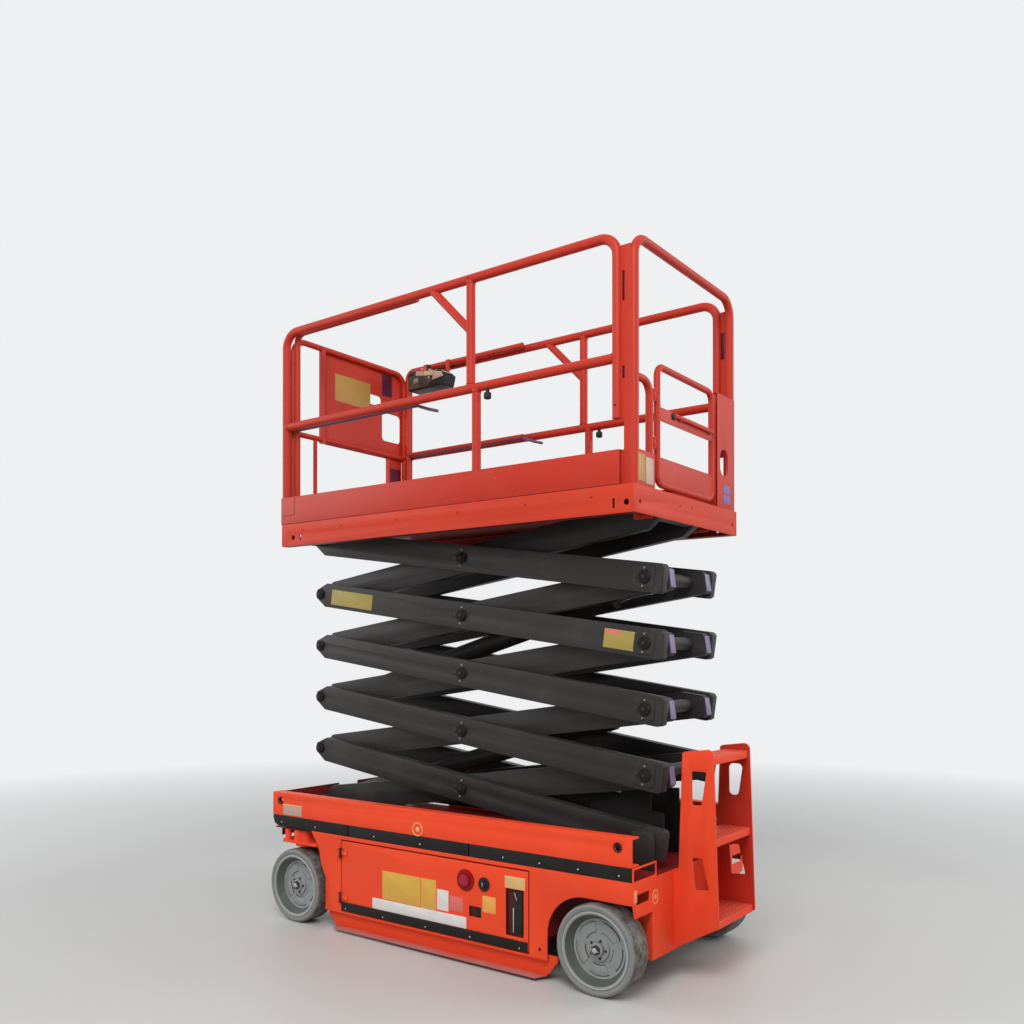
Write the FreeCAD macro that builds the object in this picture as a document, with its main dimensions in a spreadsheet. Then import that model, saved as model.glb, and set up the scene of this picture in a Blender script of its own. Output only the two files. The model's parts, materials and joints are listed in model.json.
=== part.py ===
import FreeCAD, Part
import math, os
import Sketcher

# Self-propelled scissor lift, millimetres. +X runs to the entry ladder, +Z is up, and the origin
# lies on the floor under the middle of the machine. The platform stands a little way up.

SIZES = [
    # name, value, what it is
    ("wheel_base", 1893, "front axle to rear axle"),
    ("rear_axle_x", 859, "rear axle ahead of the origin"),
    ("tyre_radius", 195, ""),
    ("tyre_width", 127, ""),
    ("rim_radius", 165, "tyre's inner radius"),
    ("dish_depth", 44, "rim's dish"),
    ("stub_radius", 25, "stub axles"),
    ("kingpin_y", 500, ""),
    ("steer_arm", 130, "kingpin to tie rod"),
    ("wheel_face_y", 595, "outer face of the tyres"),
    ("beam_overhang", 39, "chassis beyond the left-hand pivots of a level arm"),
    ("beam_rear_x", 1024, "rear end of the chassis"),
    ("beam_y", 565, "outer face of the side beams"),
    ("beam_top_z", 681, ""),
    ("beam_depth", 124, ""),
    ("beam_flange", 62, ""),
    ("beam_wall", 8, ""),
    ("strip_depth", 60, "black rubbing strip below the beam"),
    ("strip_thick", 12, ""),
    ("tub_bottom_z", 95, "underside of the chassis tub"),
    ("tub_wall_y", 300, "inner walls of the side compartments"),
    ("tub_front_x", -820, "front edge of the side panels"),
    ("tub_nose_x", -930, "front of the panel above the steered wheel"),
    ("deck_z", 490, "top of the chassis deck"),
    ("sheet_wall", 6, "chassis sheet metal"),
    ("door_lip", 18, "depth of a door's folded edge"),
    ("hinge_radius", 7, "door hinge knuckles"),
    ("hinge_pin", 4, ""),
    ("seat_gap", 0.3, "gap between pieces that slide on each other"),
    ("door_front_x", -697, ""),
    ("door_rear_x", 497, ""),
    ("door_bottom_z", 112, ""),
    ("door_top_z", 472, ""),
    ("door_gap", 6, "gap round the compartment doors"),
    ("arch_front_x", 600, "rear wheel arch"),
    ("arch_top_z", 402, ""),
    ("arch_bend", 190, ""),
    ("motor_radius", 85, "wheel drives"),
    ("axle_depth", 70, "deck to the underside of the front axle"),
    ("well_y", 396, "wall inside the rear wheel"),
    ("plate_low_z", 135, "lower edge of the rear plate"),
    ("plate_notch_z", 345, "rear plate above the tyres"),
    ("slot_length", 110, "tie-down slots"),
    ("slot_height", 42, ""),
    ("beam_hole_radius", 16, "round holes near the beams' ends"),
    ("ladder_half", 200, "outer faces of the ladder's side plates"),
    ("ladder_wall", 8, ""),
    ("ladder_depth", 213, "ladder behind the rear plate"),
    ("ladder_top_z", 1032, ""),
    ("ladder_foot_z", 150, ""),
    ("step_rise", 355, "between treads"),
    ("first_step_z", 285, ""),
    ("guard_drop_z", 15, "pothole guard's lower edge, let down"),
    ("guard_rise", 70, "travel of the pothole guard"),
    ("guard_y", 542, "outer face of the pothole guard"),
    ("guard_thick", 10, ""),
    ("guard_lip_y", 590, "edge of the guard's turned-out foot"),
    ("pivot_x", 924, "fixed scissor pivots"),
    ("pivot_z", 610, "lowest pivots"),
    ("stage_rise", 294, "height of one scissor stage as shown"),
    ("arm_length", 2128, "end pivot to end pivot"),
    ("arm_depth", 134, ""),
    ("arm_width", 54, ""),
    ("arm_wall", 6, ""),
    ("arm_tail", 88, "arm beyond its right-hand pivot"),
    ("arm_nose", 33, "arm beyond its left-hand pivot"),
    ("outer_y", 272, "outer face of the outer arms"),
    ("arm_gap", 8, "outer arm to inner arm"),
    ("pin_radius", 20, ""),
    ("pin_clearance", 0.05, "running fit of a pin"),
    ("open_clearance", 0.6, "pins at the left-hand ends"),
    ("cross_tube_radius", 30, ""),
    ("eye_inset", 134, "cylinder's eye short of the arm's end pivot"),
    ("eye_half", 28, "half the width of a cylinder's eye"),
    ("barrel_radius", 50, ""),
    ("barrel_short", 124, "barrel's mouth short of the eye with level arms"),
    ("rod_radius", 30, ""),
    ("rod_tail", 265, "rod's inner end from the foot's axis as shown"),
    ("platform_overhang", 28, "platform beyond the left-hand pivots of a level arm"),
    ("platform_rear_x", 1012, ""),
    ("platform_y", 522, "outer face of the platform's side channels"),
    ("platform_depth", 121, "side channel"),
    ("platform_drop", 41, "channel's underside below the upper pivots"),
    ("rail_tube", 40, "guard rail tube"),
    ("rail_height", 1090, "deck to top of the rails"),
    ("mid_rail_height", 545, ""),
    ("toe_height", 150, "toe board"),
    ("rail_bend", 140, "bend of the rail corners"),
    ("side_rail_rear_x", 940, "rear end of the side rails"),
    ("rail_joint", 285, "deck to the foot of the side rails' rear tube"),
    ("end_frame_y", 506, "outer face of the frame round the gateway"),
    ("gate_height", 565, ""),
    ("gate_hinge_y", -318, ""),
    ("gate_far_y", 285, ""),
    ("gate_gap", 19, "gate and its posts from the hinge"),
    ("latch_gap", 15, ""),
    ("extension_travel", 900, ""),
    ("extension_y", 470, "outer face of the extension's rails"),
]


class Size:
    """A length that knows its number and the spreadsheet expression that gives it."""

    def __init__(self, value, text):
        self.value = value
        self.text = text

    def __add__(self, other):
        return Size(self.value + number(other), f"({self.text} + {words(other)})")

    def __radd__(self, other):
        return Size(number(other) + self.value, f"({words(other)} + {self.text})")

    def __sub__(self, other):
        return Size(self.value - number(other), f"({self.text} - {words(other)})")

    def __rsub__(self, other):
        return Size(number(other) - self.value, f"({words(other)} - {self.text})")

    def __mul__(self, other):
        return Size(self.value * number(other), f"({self.text} * {words(other)})")

    def __rmul__(self, other):
        return Size(number(other) * self.value, f"({words(other)} * {self.text})")

    def __truediv__(self, other):
        return Size(self.value / number(other), f"({self.text} / {words(other)})")

    def __neg__(self):
        return Size(-self.value, f"(-1 * {self.text})")


def number(x):
    return x.value if isinstance(x, Size) else x


def words(x):
    return x.text if isinstance(x, Size) else f"({x})"


def asin_deg(x):
    return Size(math.degrees(math.asin(number(x))), f"(asin({words(x)}) / 1 deg)")


def atan_deg(x):
    return Size(math.degrees(math.atan(number(x))), f"(atan({words(x)}) / 1 deg)")


def cos_deg(x):
    return Size(math.cos(math.radians(number(x))), f"cos({words(x)} * 1 deg)")


def sin_deg(x):
    return Size(math.sin(math.radians(number(x))), f"sin({words(x)} * 1 deg)")


doc = FreeCAD.newDocument("scissor_lift")
sheet = doc.addObject("Spreadsheet::Sheet", "sizes")


class Sizes:
    pass


s = Sizes()
for row, (alias, value, note) in enumerate(SIZES, start=1):
    sheet.set(f"A{row}", str(value))
    sheet.setAlias(f"A{row}", alias)
    sheet.set(f"B{row}", note)
    setattr(s, alias, Size(value, f"sizes.{alias}"))
doc.recompute()

NODES = []


def bind(thing, **properties):
    for name, size in properties.items():
        setattr(thing, name, number(size))
        if isinstance(size, Size):
            thing.setExpression(name, size.text)


def place(thing, x=0, y=0, z=0, turn=0, about=(0, 1, 0)):
    ax, ay, az = about
    spin = FreeCAD.Rotation(FreeCAD.Vector(ax, ay, az), number(turn))
    thing.Placement = FreeCAD.Placement(FreeCAD.Vector(number(x), number(y), number(z)), spin)
    if not any(isinstance(v, Size) for v in (x, y, z, turn)):
        return thing
    vector = f"create(<<vector>>; {words(x)}; {words(y)}; {words(z)})"
    axis = f"create(<<vector>>; {ax}; {ay}; {az})"
    rotation = f"create(<<rotation>>; {axis}; {words(turn)})"
    thing.setExpression("Placement", f"create(<<placement>>; {vector}; {rotation})")
    return thing


def box(name, low, high):
    """A block between two corners, each given as (x, y, z)."""
    thing = doc.addObject("Part::Box", name)
    bind(thing, Length=high[0] - low[0], Width=high[1] - low[1], Height=high[2] - low[2])
    return place(thing, *low)


TURNS = {"X": (90, (0, 1, 0)), "Y": (-90, (1, 0, 0)), "Z": (0, (0, 0, 1))}


def rod(name, axis, radius, length, at):
    """A cylinder from the point at, along +axis."""
    thing = doc.addObject("Part::Cylinder", name)
    bind(thing, Radius=radius, Height=length)
    turn, about = TURNS[axis]
    return place(thing, *at, turn=turn, about=about)


def cone(name, near_radius, far_radius, length, at):
    """A cone along +Y from the point at."""
    thing = doc.addObject("Part::Cone", name)
    bind(thing, Radius1=near_radius, Radius2=far_radius, Height=length)
    turn, about = TURNS["Y"]
    return place(thing, *at, turn=turn, about=about)


def fuse(name, *parts):
    thing = doc.addObject("Part::MultiFuse", name)
    thing.Shapes = list(parts)
    thing.Refine = True
    return thing


def cut(name, base, *tools):
    thing = doc.addObject("Part::Cut", name)
    thing.Base = base
    thing.Tool = tools[0] if len(tools) == 1 else fuse(name + "_tools", *tools)
    return thing


def mirror(name, source):
    thing = doc.addObject("Part::Mirroring", name)
    thing.Source = source
    thing.Normal = (0, 1, 0)
    return thing


def group(name, *parts):
    thing = doc.addObject("Part::Compound", name)
    thing.Links = list(parts)
    return thing


def pair(name, near):
    """The near piece and its mirror image on the far side."""
    return group(name, near, mirror(name + "_far", near))


def node(label, thing):
    thing.Label = label
    NODES.append(thing)
    return thing


PLANES = {"XY": "XY_Plane", "XZ": "XZ_Plane", "YZ": "YZ_Plane"}


def sketch(body, name, plane, loops, circles, offset):
    """Closed outlines, each a list of (u, v) corners, and circles, each (u, v, radius)."""
    drawing = body.newObject("Sketcher::SketchObject", name)
    origin = [f for f in body.Origin.OriginFeatures if f.Role == PLANES[plane]][0]
    drawing.AttachmentSupport = [(origin, "")]
    drawing.MapMode = "FlatFace"
    drawing.AttachmentOffset = FreeCAD.Placement(FreeCAD.Vector(0, 0, number(offset)), FreeCAD.Rotation())
    if isinstance(offset, Size):
        drawing.setExpression("AttachmentOffset.Base.z", offset.text)

    def hold(kind, *where, size):
        index = drawing.addConstraint(Sketcher.Constraint(kind, *where, number(size)))
        if isinstance(size, Size):
            drawing.setExpression(f"Constraints[{index}]", size.text)

    first = 0
    for corners in loops:
        points = [FreeCAD.Vector(number(u), number(v), 0) for u, v in corners]
        count = len(points)
        for i in range(count):
            drawing.addGeometry(Part.LineSegment(points[i], points[(i + 1) % count]), False)
        for i in range(count):
            after = first + (i + 1) % count
            drawing.addConstraint(Sketcher.Constraint("Coincident", first + i, 2, after, 1))
        for i, (u, v) in enumerate(corners):
            hold("DistanceX", -1, 1, first + i, 1, size=u)
            hold("DistanceY", -1, 1, first + i, 1, size=v)
        first += count
    for u, v, radius in circles:
        centre = FreeCAD.Vector(number(u), number(v), 0)
        drawing.addGeometry(Part.Circle(centre, FreeCAD.Vector(0, 0, 1), number(radius)), False)
        hold("DistanceX", -1, 1, first, 3, size=u)
        hold("DistanceY", -1, 1, first, 3, size=v)
        hold("Radius", first, size=radius)
        first += 1
    return drawing


def plate(name, plane, outline, start, thick, windows=(), holes=(), rounds=()):
    """A flat piece cut from plate or tube: outline padded from start by thick along the plane's
    normal (+X for YZ, +Z for XY and -Y for XZ), less its windows and holes. rounds lists
    (u, v, radius): the corner edges there are filleted."""
    body = doc.addObject("PartDesign::Body", name)
    pad = body.newObject("PartDesign::Pad", name + "_pad")
    pad.Profile = sketch(body, name + "_outline", plane, [outline], [], start)
    bind(pad, Length=thick)
    doc.recompute()
    if windows or holes:
        drawing = sketch(body, name + "_openings", plane, windows, holes, start)
        pocket = body.newObject("PartDesign::Pocket", name + "_pocket")
        pocket.Profile = drawing
        pocket.Type = "ThroughAll"
        pocket.Midplane = True
        doc.recompute()
    by_radius = {}
    for u, v, radius in rounds:
        by_radius.setdefault(words(radius), (radius, []))[1].append((number(u), number(v)))
    for count, (radius, corners) in enumerate(by_radius.values()):
        tip = body.Tip
        fillet = body.newObject("PartDesign::Fillet", f"{name}_fillet{count}")
        fillet.Base = (tip, corner_edges(tip.Shape, plane, corners))
        bind(fillet, Radius=radius)
        doc.recompute()
    return body


def corner_edges(shape, plane, corners):
    """The names of the straight edges square to the plane that pass through the given corners."""
    names = []
    for index, edge in enumerate(shape.Edges, start=1):
        a, b = edge.Vertexes[0].Point, edge.Vertexes[-1].Point
        flat = {"XY": ((a.x, a.y), (b.x, b.y)), "XZ": ((a.x, a.z), (b.x, b.z)), "YZ": ((a.y, a.z), (b.y, b.z))}
        start, end = flat[plane]
        if math.dist(start, end) < 1e-6:
            if any(math.dist(start, corner) < 0.01 for corner in corners):
                names.append(f"Edge{index}")
    return names


def rectangle(low, high):
    (u0, v0), (u1, v1) = low, high
    return [(u0, v0), (u1, v0), (u1, v1), (u0, v1)]


# Chassis

beam_front_x = s.pivot_x - s.arm_length - s.beam_overhang
platform_front_x = s.pivot_x - s.arm_length - s.platform_overhang
ladder_reach_x = s.beam_rear_x + s.sheet_wall + s.ladder_depth
front_axle_x = s.rear_axle_x - s.wheel_base
beam_bottom_z = s.beam_top_z - s.beam_depth
strip_bottom_z = beam_bottom_z - s.strip_depth
tyre_inner_y = s.wheel_face_y - s.tyre_width
side_y = s.beam_y
door_hinge_x = s.door_front_x - s.door_gap / 2
door_hinge_y = side_y + s.hinge_radius + 0.5
shelf_z = s.tub_bottom_z + 100
axle_bottom_z = s.deck_z - s.sheet_wall - s.axle_depth


def side_beams():
    """C-section side members, open towards the scissor stack."""
    inner = s.beam_y - s.beam_flange
    outline = [(-s.beam_y, beam_bottom_z), (-inner, beam_bottom_z), (-inner, beam_bottom_z + s.beam_wall),
               (-s.beam_y + s.beam_wall, beam_bottom_z + s.beam_wall),
               (-s.beam_y + s.beam_wall, s.beam_top_z - s.beam_wall), (-inner, s.beam_top_z - s.beam_wall),
               (-inner, s.beam_top_z), (-s.beam_y, s.beam_top_z)]
    beam = plate("beam_section", "YZ", outline, beam_front_x, s.beam_rear_x - beam_front_x)
    z = s.beam_top_z - 44
    holes = [rod(f"beam_hole_{end}", "Y", s.beam_hole_radius, s.beam_wall * 2, (x, -s.beam_y - s.beam_wall / 2, z))
             for end, x in (("front", beam_front_x + 64), ("rear", s.beam_rear_x - 68))]
    return node("side_beams", pair("side_beam_pair", cut("near_beam", beam, *holes)))


def black_strips():
    near = box("near_strip", (beam_front_x, -side_y, strip_bottom_z),
               (s.beam_rear_x, -side_y + s.strip_thick, beam_bottom_z))
    return node("black_strips", pair("strip_pair", near))


def side_panels():
    """Side skin of the tub with its door opening and the arch over the rear wheel."""
    rear_x = s.beam_rear_x
    front = s.tub_front_x
    outline = [(front, s.tub_bottom_z), (s.arch_front_x, s.tub_bottom_z), (s.arch_front_x, s.arch_top_z),
               (rear_x, s.arch_top_z - 2), (rear_x, strip_bottom_z), (s.tub_nose_x, strip_bottom_z),
               (front - 100, strip_bottom_z - 16), (front - 70, strip_bottom_z - 58), (front - 50, strip_bottom_z - 97),
               (front - 35, s.tyre_radius + 135), (front, s.tyre_radius + 67)]
    gap = s.door_gap
    window = rectangle((s.door_front_x - gap, s.door_bottom_z - gap), (s.door_rear_x + gap, s.door_top_z + gap))
    skin = plate("near_side", "XZ", outline, side_y - s.sheet_wall, s.sheet_wall, [window],
                 rounds=[(s.arch_front_x, s.arch_top_z, s.arch_bend)])
    guides = [box(f"guard_guide_{i}", (x, -side_y + s.sheet_wall, s.tub_bottom_z), (x + 16, -s.guard_y - s.seat_gap, shelf_z - 8))
              for i, x in enumerate((s.tub_front_x + 20, s.arch_front_x - 36))]
    return node("side_panels", pair("side_panel_pair", fuse("near_side_guided", skin, *guides)))


def chassis_tub():
    """Floor, deck, bulkheads and the inner walls of the compartments, folded from sheet."""
    w = s.sheet_wall
    front, rear = s.tub_front_x + 14, s.arch_front_x
    inner = s.tub_wall_y
    skin = side_y - w
    deck = box("deck", (beam_front_x + w, -skin + w, s.deck_z - w), (s.beam_rear_x - w, skin - w, s.deck_z))
    floor = box("floor", (front, -inner, s.tub_bottom_z), (rear, inner, s.tub_bottom_z + w))
    near_wall = box("near_wall", (front, -inner, s.tub_bottom_z), (rear, -inner + w, s.deck_z))
    far_wall = box("far_wall", (front, inner - w, s.tub_bottom_z), (rear, inner, s.deck_z))
    front_wall = box("front_wall", (front, -skin, shelf_z), (front + w, skin, s.deck_z))
    rear_wall = box("rear_wall", (rear - w, -skin, shelf_z), (rear, skin, s.deck_z))
    shelf_low = shelf_z
    bay = side_y - s.door_lip - s.door_gap
    near_shelf = box("near_shelf", (front, -bay, shelf_low), (rear, -inner, shelf_low + w))
    far_shelf = box("far_shelf", (front, inner, shelf_low), (rear, bay, shelf_low + w))
    tub = fuse("tub", deck, floor, near_wall, far_wall, front_wall, rear_wall, near_shelf, far_shelf)
    return node("chassis_tub", tub)


def end_plates():
    """Rear plate, notched over the drive wheels, with tie-down slots and the walls inside the
    wheels, and the front plate, notched for the lift cylinder's foot."""
    w = s.sheet_wall
    rear_x = s.beam_rear_x
    top, rim = s.deck_z, beam_bottom_z
    inner = side_y - 205
    half_outline = [(s.well_y, s.plate_low_z), (s.well_y, s.plate_notch_z), (side_y - 14, s.plate_notch_z),
                    (side_y, s.plate_notch_z + 64), (side_y, rim), (inner, rim), (inner, top)]
    outline = half_outline + [(-y, z) for y, z in reversed(half_outline)]
    bar = 9
    windows = []
    for side in (-1, 1):
        low, high = sorted((side * (side_y - bar), side * (inner + bar)), key=number)
        windows.append(rectangle((low, top + bar), (high, rim - bar)))
        middle = side * (side_y - 85)
        windows.append(rectangle((middle - s.slot_length / 2, s.deck_z - 90),
                                 (middle + s.slot_length / 2, s.deck_z - 90 + s.slot_height)))
    face = plate("rear_face", "YZ", outline, rear_x, w, windows)
    well_x = s.rear_axle_x + s.motor_radius + 6
    wells = [box("near_well", (well_x, -s.well_y, s.plate_low_z), (rear_x, -s.well_y + w, s.deck_z - w)),
             box("far_well", (well_x, s.well_y - w, s.plate_low_z), (rear_x, s.well_y, s.deck_z - w))]
    node("rear_end_plate", fuse("rear_plate", face, *wells))
    inner = s.beam_y - s.beam_flange
    low, high, notch = s.deck_z - 58, s.beam_top_z - 4, 75
    foot = s.pivot_z - 65
    front = plate("front_plate", "YZ", [(-inner, low), (inner, low), (inner, high), (notch, high), (notch, foot),
                                        (-notch, foot), (-notch, high), (-inner, high)], beam_front_x, w)
    node("front_end_plate", front)


def ladder():
    """Side plates with hand holes and three folded treads."""
    foot_x = s.beam_rear_x + s.sheet_wall
    top_x = ladder_reach_x - 26
    outline = [(foot_x, s.ladder_foot_z), (foot_x + 16, s.ladder_foot_z), (ladder_reach_x, s.first_step_z - 24),
               (top_x, s.ladder_top_z), (foot_x + 41, s.ladder_top_z - 20),
               (foot_x + 22, s.deck_z), (foot_x, s.deck_z)]
    x = foot_x + 85
    upper = [(x + 2, s.ladder_top_z - 250), (x + 48, s.ladder_top_z - 248), (x + 71, s.ladder_top_z - 100),
             (x, s.ladder_top_z - 102)]
    lower = [(x + 14, s.first_step_z + 128), (x + 82, s.first_step_z + 134), (x + 50, s.first_step_z + 270),
             (x + 2, s.first_step_z + 266)]
    corners = [(top_x, s.ladder_top_z, 28), (foot_x + 41, s.ladder_top_z - 20, 16)] + [(*spot, 6) for spot in lower]
    near = plate("ladder_side", "XZ", outline, s.ladder_half - s.ladder_wall, s.ladder_wall, [upper, lower],
                 rounds=corners + [(*spot, 7) for spot in upper])
    far = plate("ladder_far_side", "XZ", outline, -s.ladder_half, s.ladder_wall, [upper, lower],
                rounds=corners + [(*spot, 21) for spot in upper])
    parts = [near, far]
    inner = s.ladder_half - s.ladder_wall
    for i in range(3):
        z = s.first_step_z + s.step_rise * i
        tread = box(f"tread{i}", (foot_x + 45 + 7 * i, -inner, z - 6), (ladder_reach_x - 12 - 11 * i, inner, z))
        lip = box(f"tread_lip{i}", (ladder_reach_x - 18 - 11 * i, -inner, z - 34),
                  (ladder_reach_x - 12 - 11 * i, inner, z))
        parts += [tread, lip]
    return node("entry_ladder", fuse("ladder", *parts))


def doors():
    """Compartment doors: a skin with a folded rim, swinging on two knuckles at the front edge."""
    outline = rectangle((s.door_front_x, s.door_bottom_z), (s.door_rear_x, s.door_top_z))
    inset = 30
    skin = plate("door_skin", "XZ", outline, side_y - s.sheet_wall / 2, s.sheet_wall / 2)
    rim_window = rectangle((s.door_front_x + inset, s.door_bottom_z + inset), (s.door_rear_x - inset, s.door_top_z - inset))
    rim = plate("door_rim", "XZ", outline, side_y - s.door_lip, s.door_lip - s.sheet_wall / 2, [rim_window])
    x, y = door_hinge_x, -door_hinge_y
    straps, pins = [], []
    for i, z in enumerate((s.door_bottom_z + 55, s.door_top_z - 75)):
        knuckle = rod(f"door_knuckle_{i}", "Z", s.hinge_radius, 24, (x, y, z))
        leaf = box(f"door_leaf_{i}", (x, -side_y - 4, z), (x + 45, -side_y, z + 24))
        bore = rod(f"door_bore_{i}", "Z", s.hinge_pin + s.pin_clearance, 26, (x, y, z - 1))
        straps.append(cut(f"door_strap_{i}", fuse(f"door_strap_solid_{i}", knuckle, leaf), bore))
        pin = rod(f"hinge_pin_{i}", "Z", s.hinge_pin, 54, (x, y, z - 15))
        ends = [rod(f"hinge_end_{i}_{k}", "Z", s.hinge_radius, 14.5, (x, y, z - 15 + k)) for k in (0, 39.5)]
        plates = [box(f"hinge_leaf_{i}_{k}", (x - 30, -side_y - 4, z - 15 + k), (x, -side_y, z - 0.5 + k)) for k in (0, 39.5)]
        pins.append(fuse(f"hinge_fixed_{i}", pin, *ends, *plates))
    door = fuse("door", skin, rim, *straps)
    node("compartment_door_near", door)
    node("compartment_door_far", mirror("door_far", door))
    near = group("near_hinges", *pins)
    node("door_hinges", group("door_hinge_pins", near, mirror("far_hinges", near)))


def guards():
    """Pothole guards, let down: long plates with sloped ends and a foot turned out."""
    low = s.guard_drop_z
    top = s.tub_bottom_z + 20
    front, rear = s.tub_front_x + 6, s.arch_front_x + 40
    outline = [(front, low + 60), (front + 54, low), (rear - 64, low), (rear, low + 75), (rear, top), (front, top)]
    skirt = plate("guard_plate", "XZ", outline, s.guard_y - s.guard_thick, s.guard_thick)
    lip = box("guard_lip", (front + 58, -s.guard_lip_y, low), (rear - 68, -s.guard_y + 2, low + 5))
    guard = fuse("guard", skirt, lip)
    node("pothole_guard_near", guard)
    node("pothole_guard_far", mirror("guard_far", guard))


# Wheels

WHEELS = [
    # name, axle's x, side
    ("front_near", front_axle_x, -1),
    ("front_far", front_axle_x, 1),
    ("rear_near", s.rear_axle_x, -1),
    ("rear_far", s.rear_axle_x, 1),
]


def wheels():
    for name, x, side in WHEELS:
        low = -s.wheel_face_y if side < 0 else s.wheel_face_y - s.tyre_width
        z = s.tyre_radius
        outer = rod(f"tyre_outer_{name}", "Y", s.tyre_radius, s.tyre_width, (x, low, z))
        bore = rod(f"tyre_bore_{name}", "Y", s.rim_radius, s.tyre_width, (x, low, z))
        node(f"tyre_{name}", cut(f"tyre_ring_{name}", outer, bore))
        ring = rod(f"rim_ring_{name}", "Y", s.rim_radius, s.tyre_width - 8, (x, low + 4, z))
        wide, narrow = s.rim_radius - 15, s.rim_radius - 37
        dish_low = low + 3 if side < 0 else low + s.tyre_width - s.dish_depth
        dish = cone(f"rim_dish_{name}", wide if side < 0 else narrow, narrow if side < 0 else wide,
                    s.dish_depth - 3, (x, dish_low, z))
        hub_low = low + s.dish_depth - 12 if side < 0 else low + s.tyre_width - s.dish_depth - 20
        hub = rod(f"rim_hub_{name}", "Y", 52, 32, (x, hub_low, z))
        axle = rod(f"rim_axle_{name}", "Y", s.stub_radius + s.pin_clearance, s.tyre_width, (x, low, z))
        node(f"rim_{name}", cut(f"rim_{name}_bored", fuse(f"rim_solid_{name}", cut(f"rim_open_{name}", ring, dish), hub), axle))


def axles():
    """Front axle with its flanges and kingpin bosses, and the two drive units at the rear."""
    x = front_axle_x
    low, high = axle_bottom_z, s.deck_z - s.sheet_wall
    thick, y = 12, s.kingpin_y
    beam = box("front_beam", (x - 50, -y, low + thick - 1), (x + 50, y, high))
    outline = [(x - 126, -s.beam_y), (x + 142, -s.beam_y), (x + 142, 80 - y), (x - 156, 80 - y), (x - 156, 40 - s.beam_y)]
    flange = plate("axle_flange", "XY", outline, low, thick)
    posts = [rod(f"axle_post_{i}", "Z", radius, high - low - 2, (x + dx, -y - dy, low + 1))
             for i, (dx, dy, radius) in enumerate(((0, 0, 42), (-26, 38, 25), (-112, 38, 17)))]
    near = fuse("axle_end", flange, *posts)
    bores = [rod(f"kingpin_bore_{side}", "Z", s.pin_radius + s.pin_clearance, 80, (x, side * y, low - 10))
             for side in (-1, 1)]
    axle = fuse("front_axle_solid", beam, near, mirror("axle_far_end", near))
    node("front_axle", cut("front_axle_bored", axle, *bores))
    z = s.tyre_radius
    x = s.rear_axle_x
    motor = rod("drive_motor", "Y", s.motor_radius, 160, (x, -tyre_inner_y + 6, z))
    shaft = rod("drive_shaft", "Y", s.stub_radius, s.tyre_width - 14, (x, -s.wheel_face_y + 20, z))
    mount = box("drive_mount", (x - 60, -tyre_inner_y + 110, z), (x + 60, -tyre_inner_y + 150, s.deck_z - s.sheet_wall))
    node("rear_drives", pair("drive_pair", fuse("drive_near", motor, shaft, mount)))


def knuckles():
    x, y, z = front_axle_x, s.kingpin_y, s.tyre_radius
    top = axle_bottom_z - 0.5
    arm_low = top - 13
    flange = rod("knuckle_flange", "Z", 62, 13, (x, -y, arm_low))
    kingpin = rod("kingpin", "Z", s.pin_radius, 50, (x, -y, arm_low))
    bridge = box("knuckle_bridge", (x - 45, -y, arm_low), (x + 45, -tyre_inner_y + 36, top))
    leg = box("knuckle_leg", (x - 45, -tyre_inner_y + 12, z - 45), (x + 45, -tyre_inner_y + 36, top))
    stub = rod("knuckle_stub", "Y", s.stub_radius, s.tyre_width - 14, (x, -s.wheel_face_y + 26, z))
    arm = box("steering_arm", (x, -y - 18, arm_low), (x + s.steer_arm + 18, -y + 18, top))
    body = fuse("knuckle", flange, kingpin, bridge, leg, stub, arm)
    tie_x = x + s.steer_arm
    bore = rod("knuckle_bore", "Z", 10 + s.pin_clearance, 40, (tie_x, -y, arm_low - 10))
    node("steering_knuckle_near", cut("knuckle_bored", body, bore))
    slot = rod("knuckle_open_bore", "Z", 10 + s.open_clearance, 40, (tie_x, -y, arm_low - 10))
    node("steering_knuckle_far", mirror("knuckle_far", cut("knuckle_open", body, slot)))
    bar_z = arm_low - 14
    parts = [rod("tie_bar", "Y", 11, 2 * y, (tie_x, -y, bar_z))]
    for side in (-1, 1):
        parts.append(rod(f"tie_end_{side + 1}", "Z", 18, 26, (tie_x, side * y, bar_z - 13)))
        parts.append(rod(f"tie_pin_{side + 1}", "Z", 10, 25, (tie_x, side * y, bar_z)))
    node("tie_rod", fuse("tie", *parts))


def battery():
    return node("battery_block", box("batteries", (s.door_front_x + 97, s.tub_wall_y, shelf_z + s.sheet_wall),
                                     (s.door_rear_x - 117, side_y - s.door_lip - 17, s.door_top_z - 42)))


# Scissor stack. Arms are drawn level about their middle pivot and then turned.

rest_angle = asin_deg(s.stage_rise / s.arm_length)
half = s.arm_length / 2
middle_x = s.pivot_x - half * cos_deg(rest_angle)
inner_y = s.outer_y - s.arm_width - s.arm_gap
clear_y = inner_y - s.arm_width


eye_at = half - s.eye_inset
lift_foot = eye_at + half
lift_run = lift_foot * cos_deg(rest_angle)
lift_rise = (lift_foot + s.arm_length) * sin_deg(rest_angle)
lift_angle = atan_deg(lift_rise / lift_run)
lift_length = lift_run / cos_deg(lift_angle)
barrel_length = lift_foot - s.barrel_short


def stage_z(i):
    return s.pivot_z + s.stage_rise * (i - 0.5)


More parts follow.
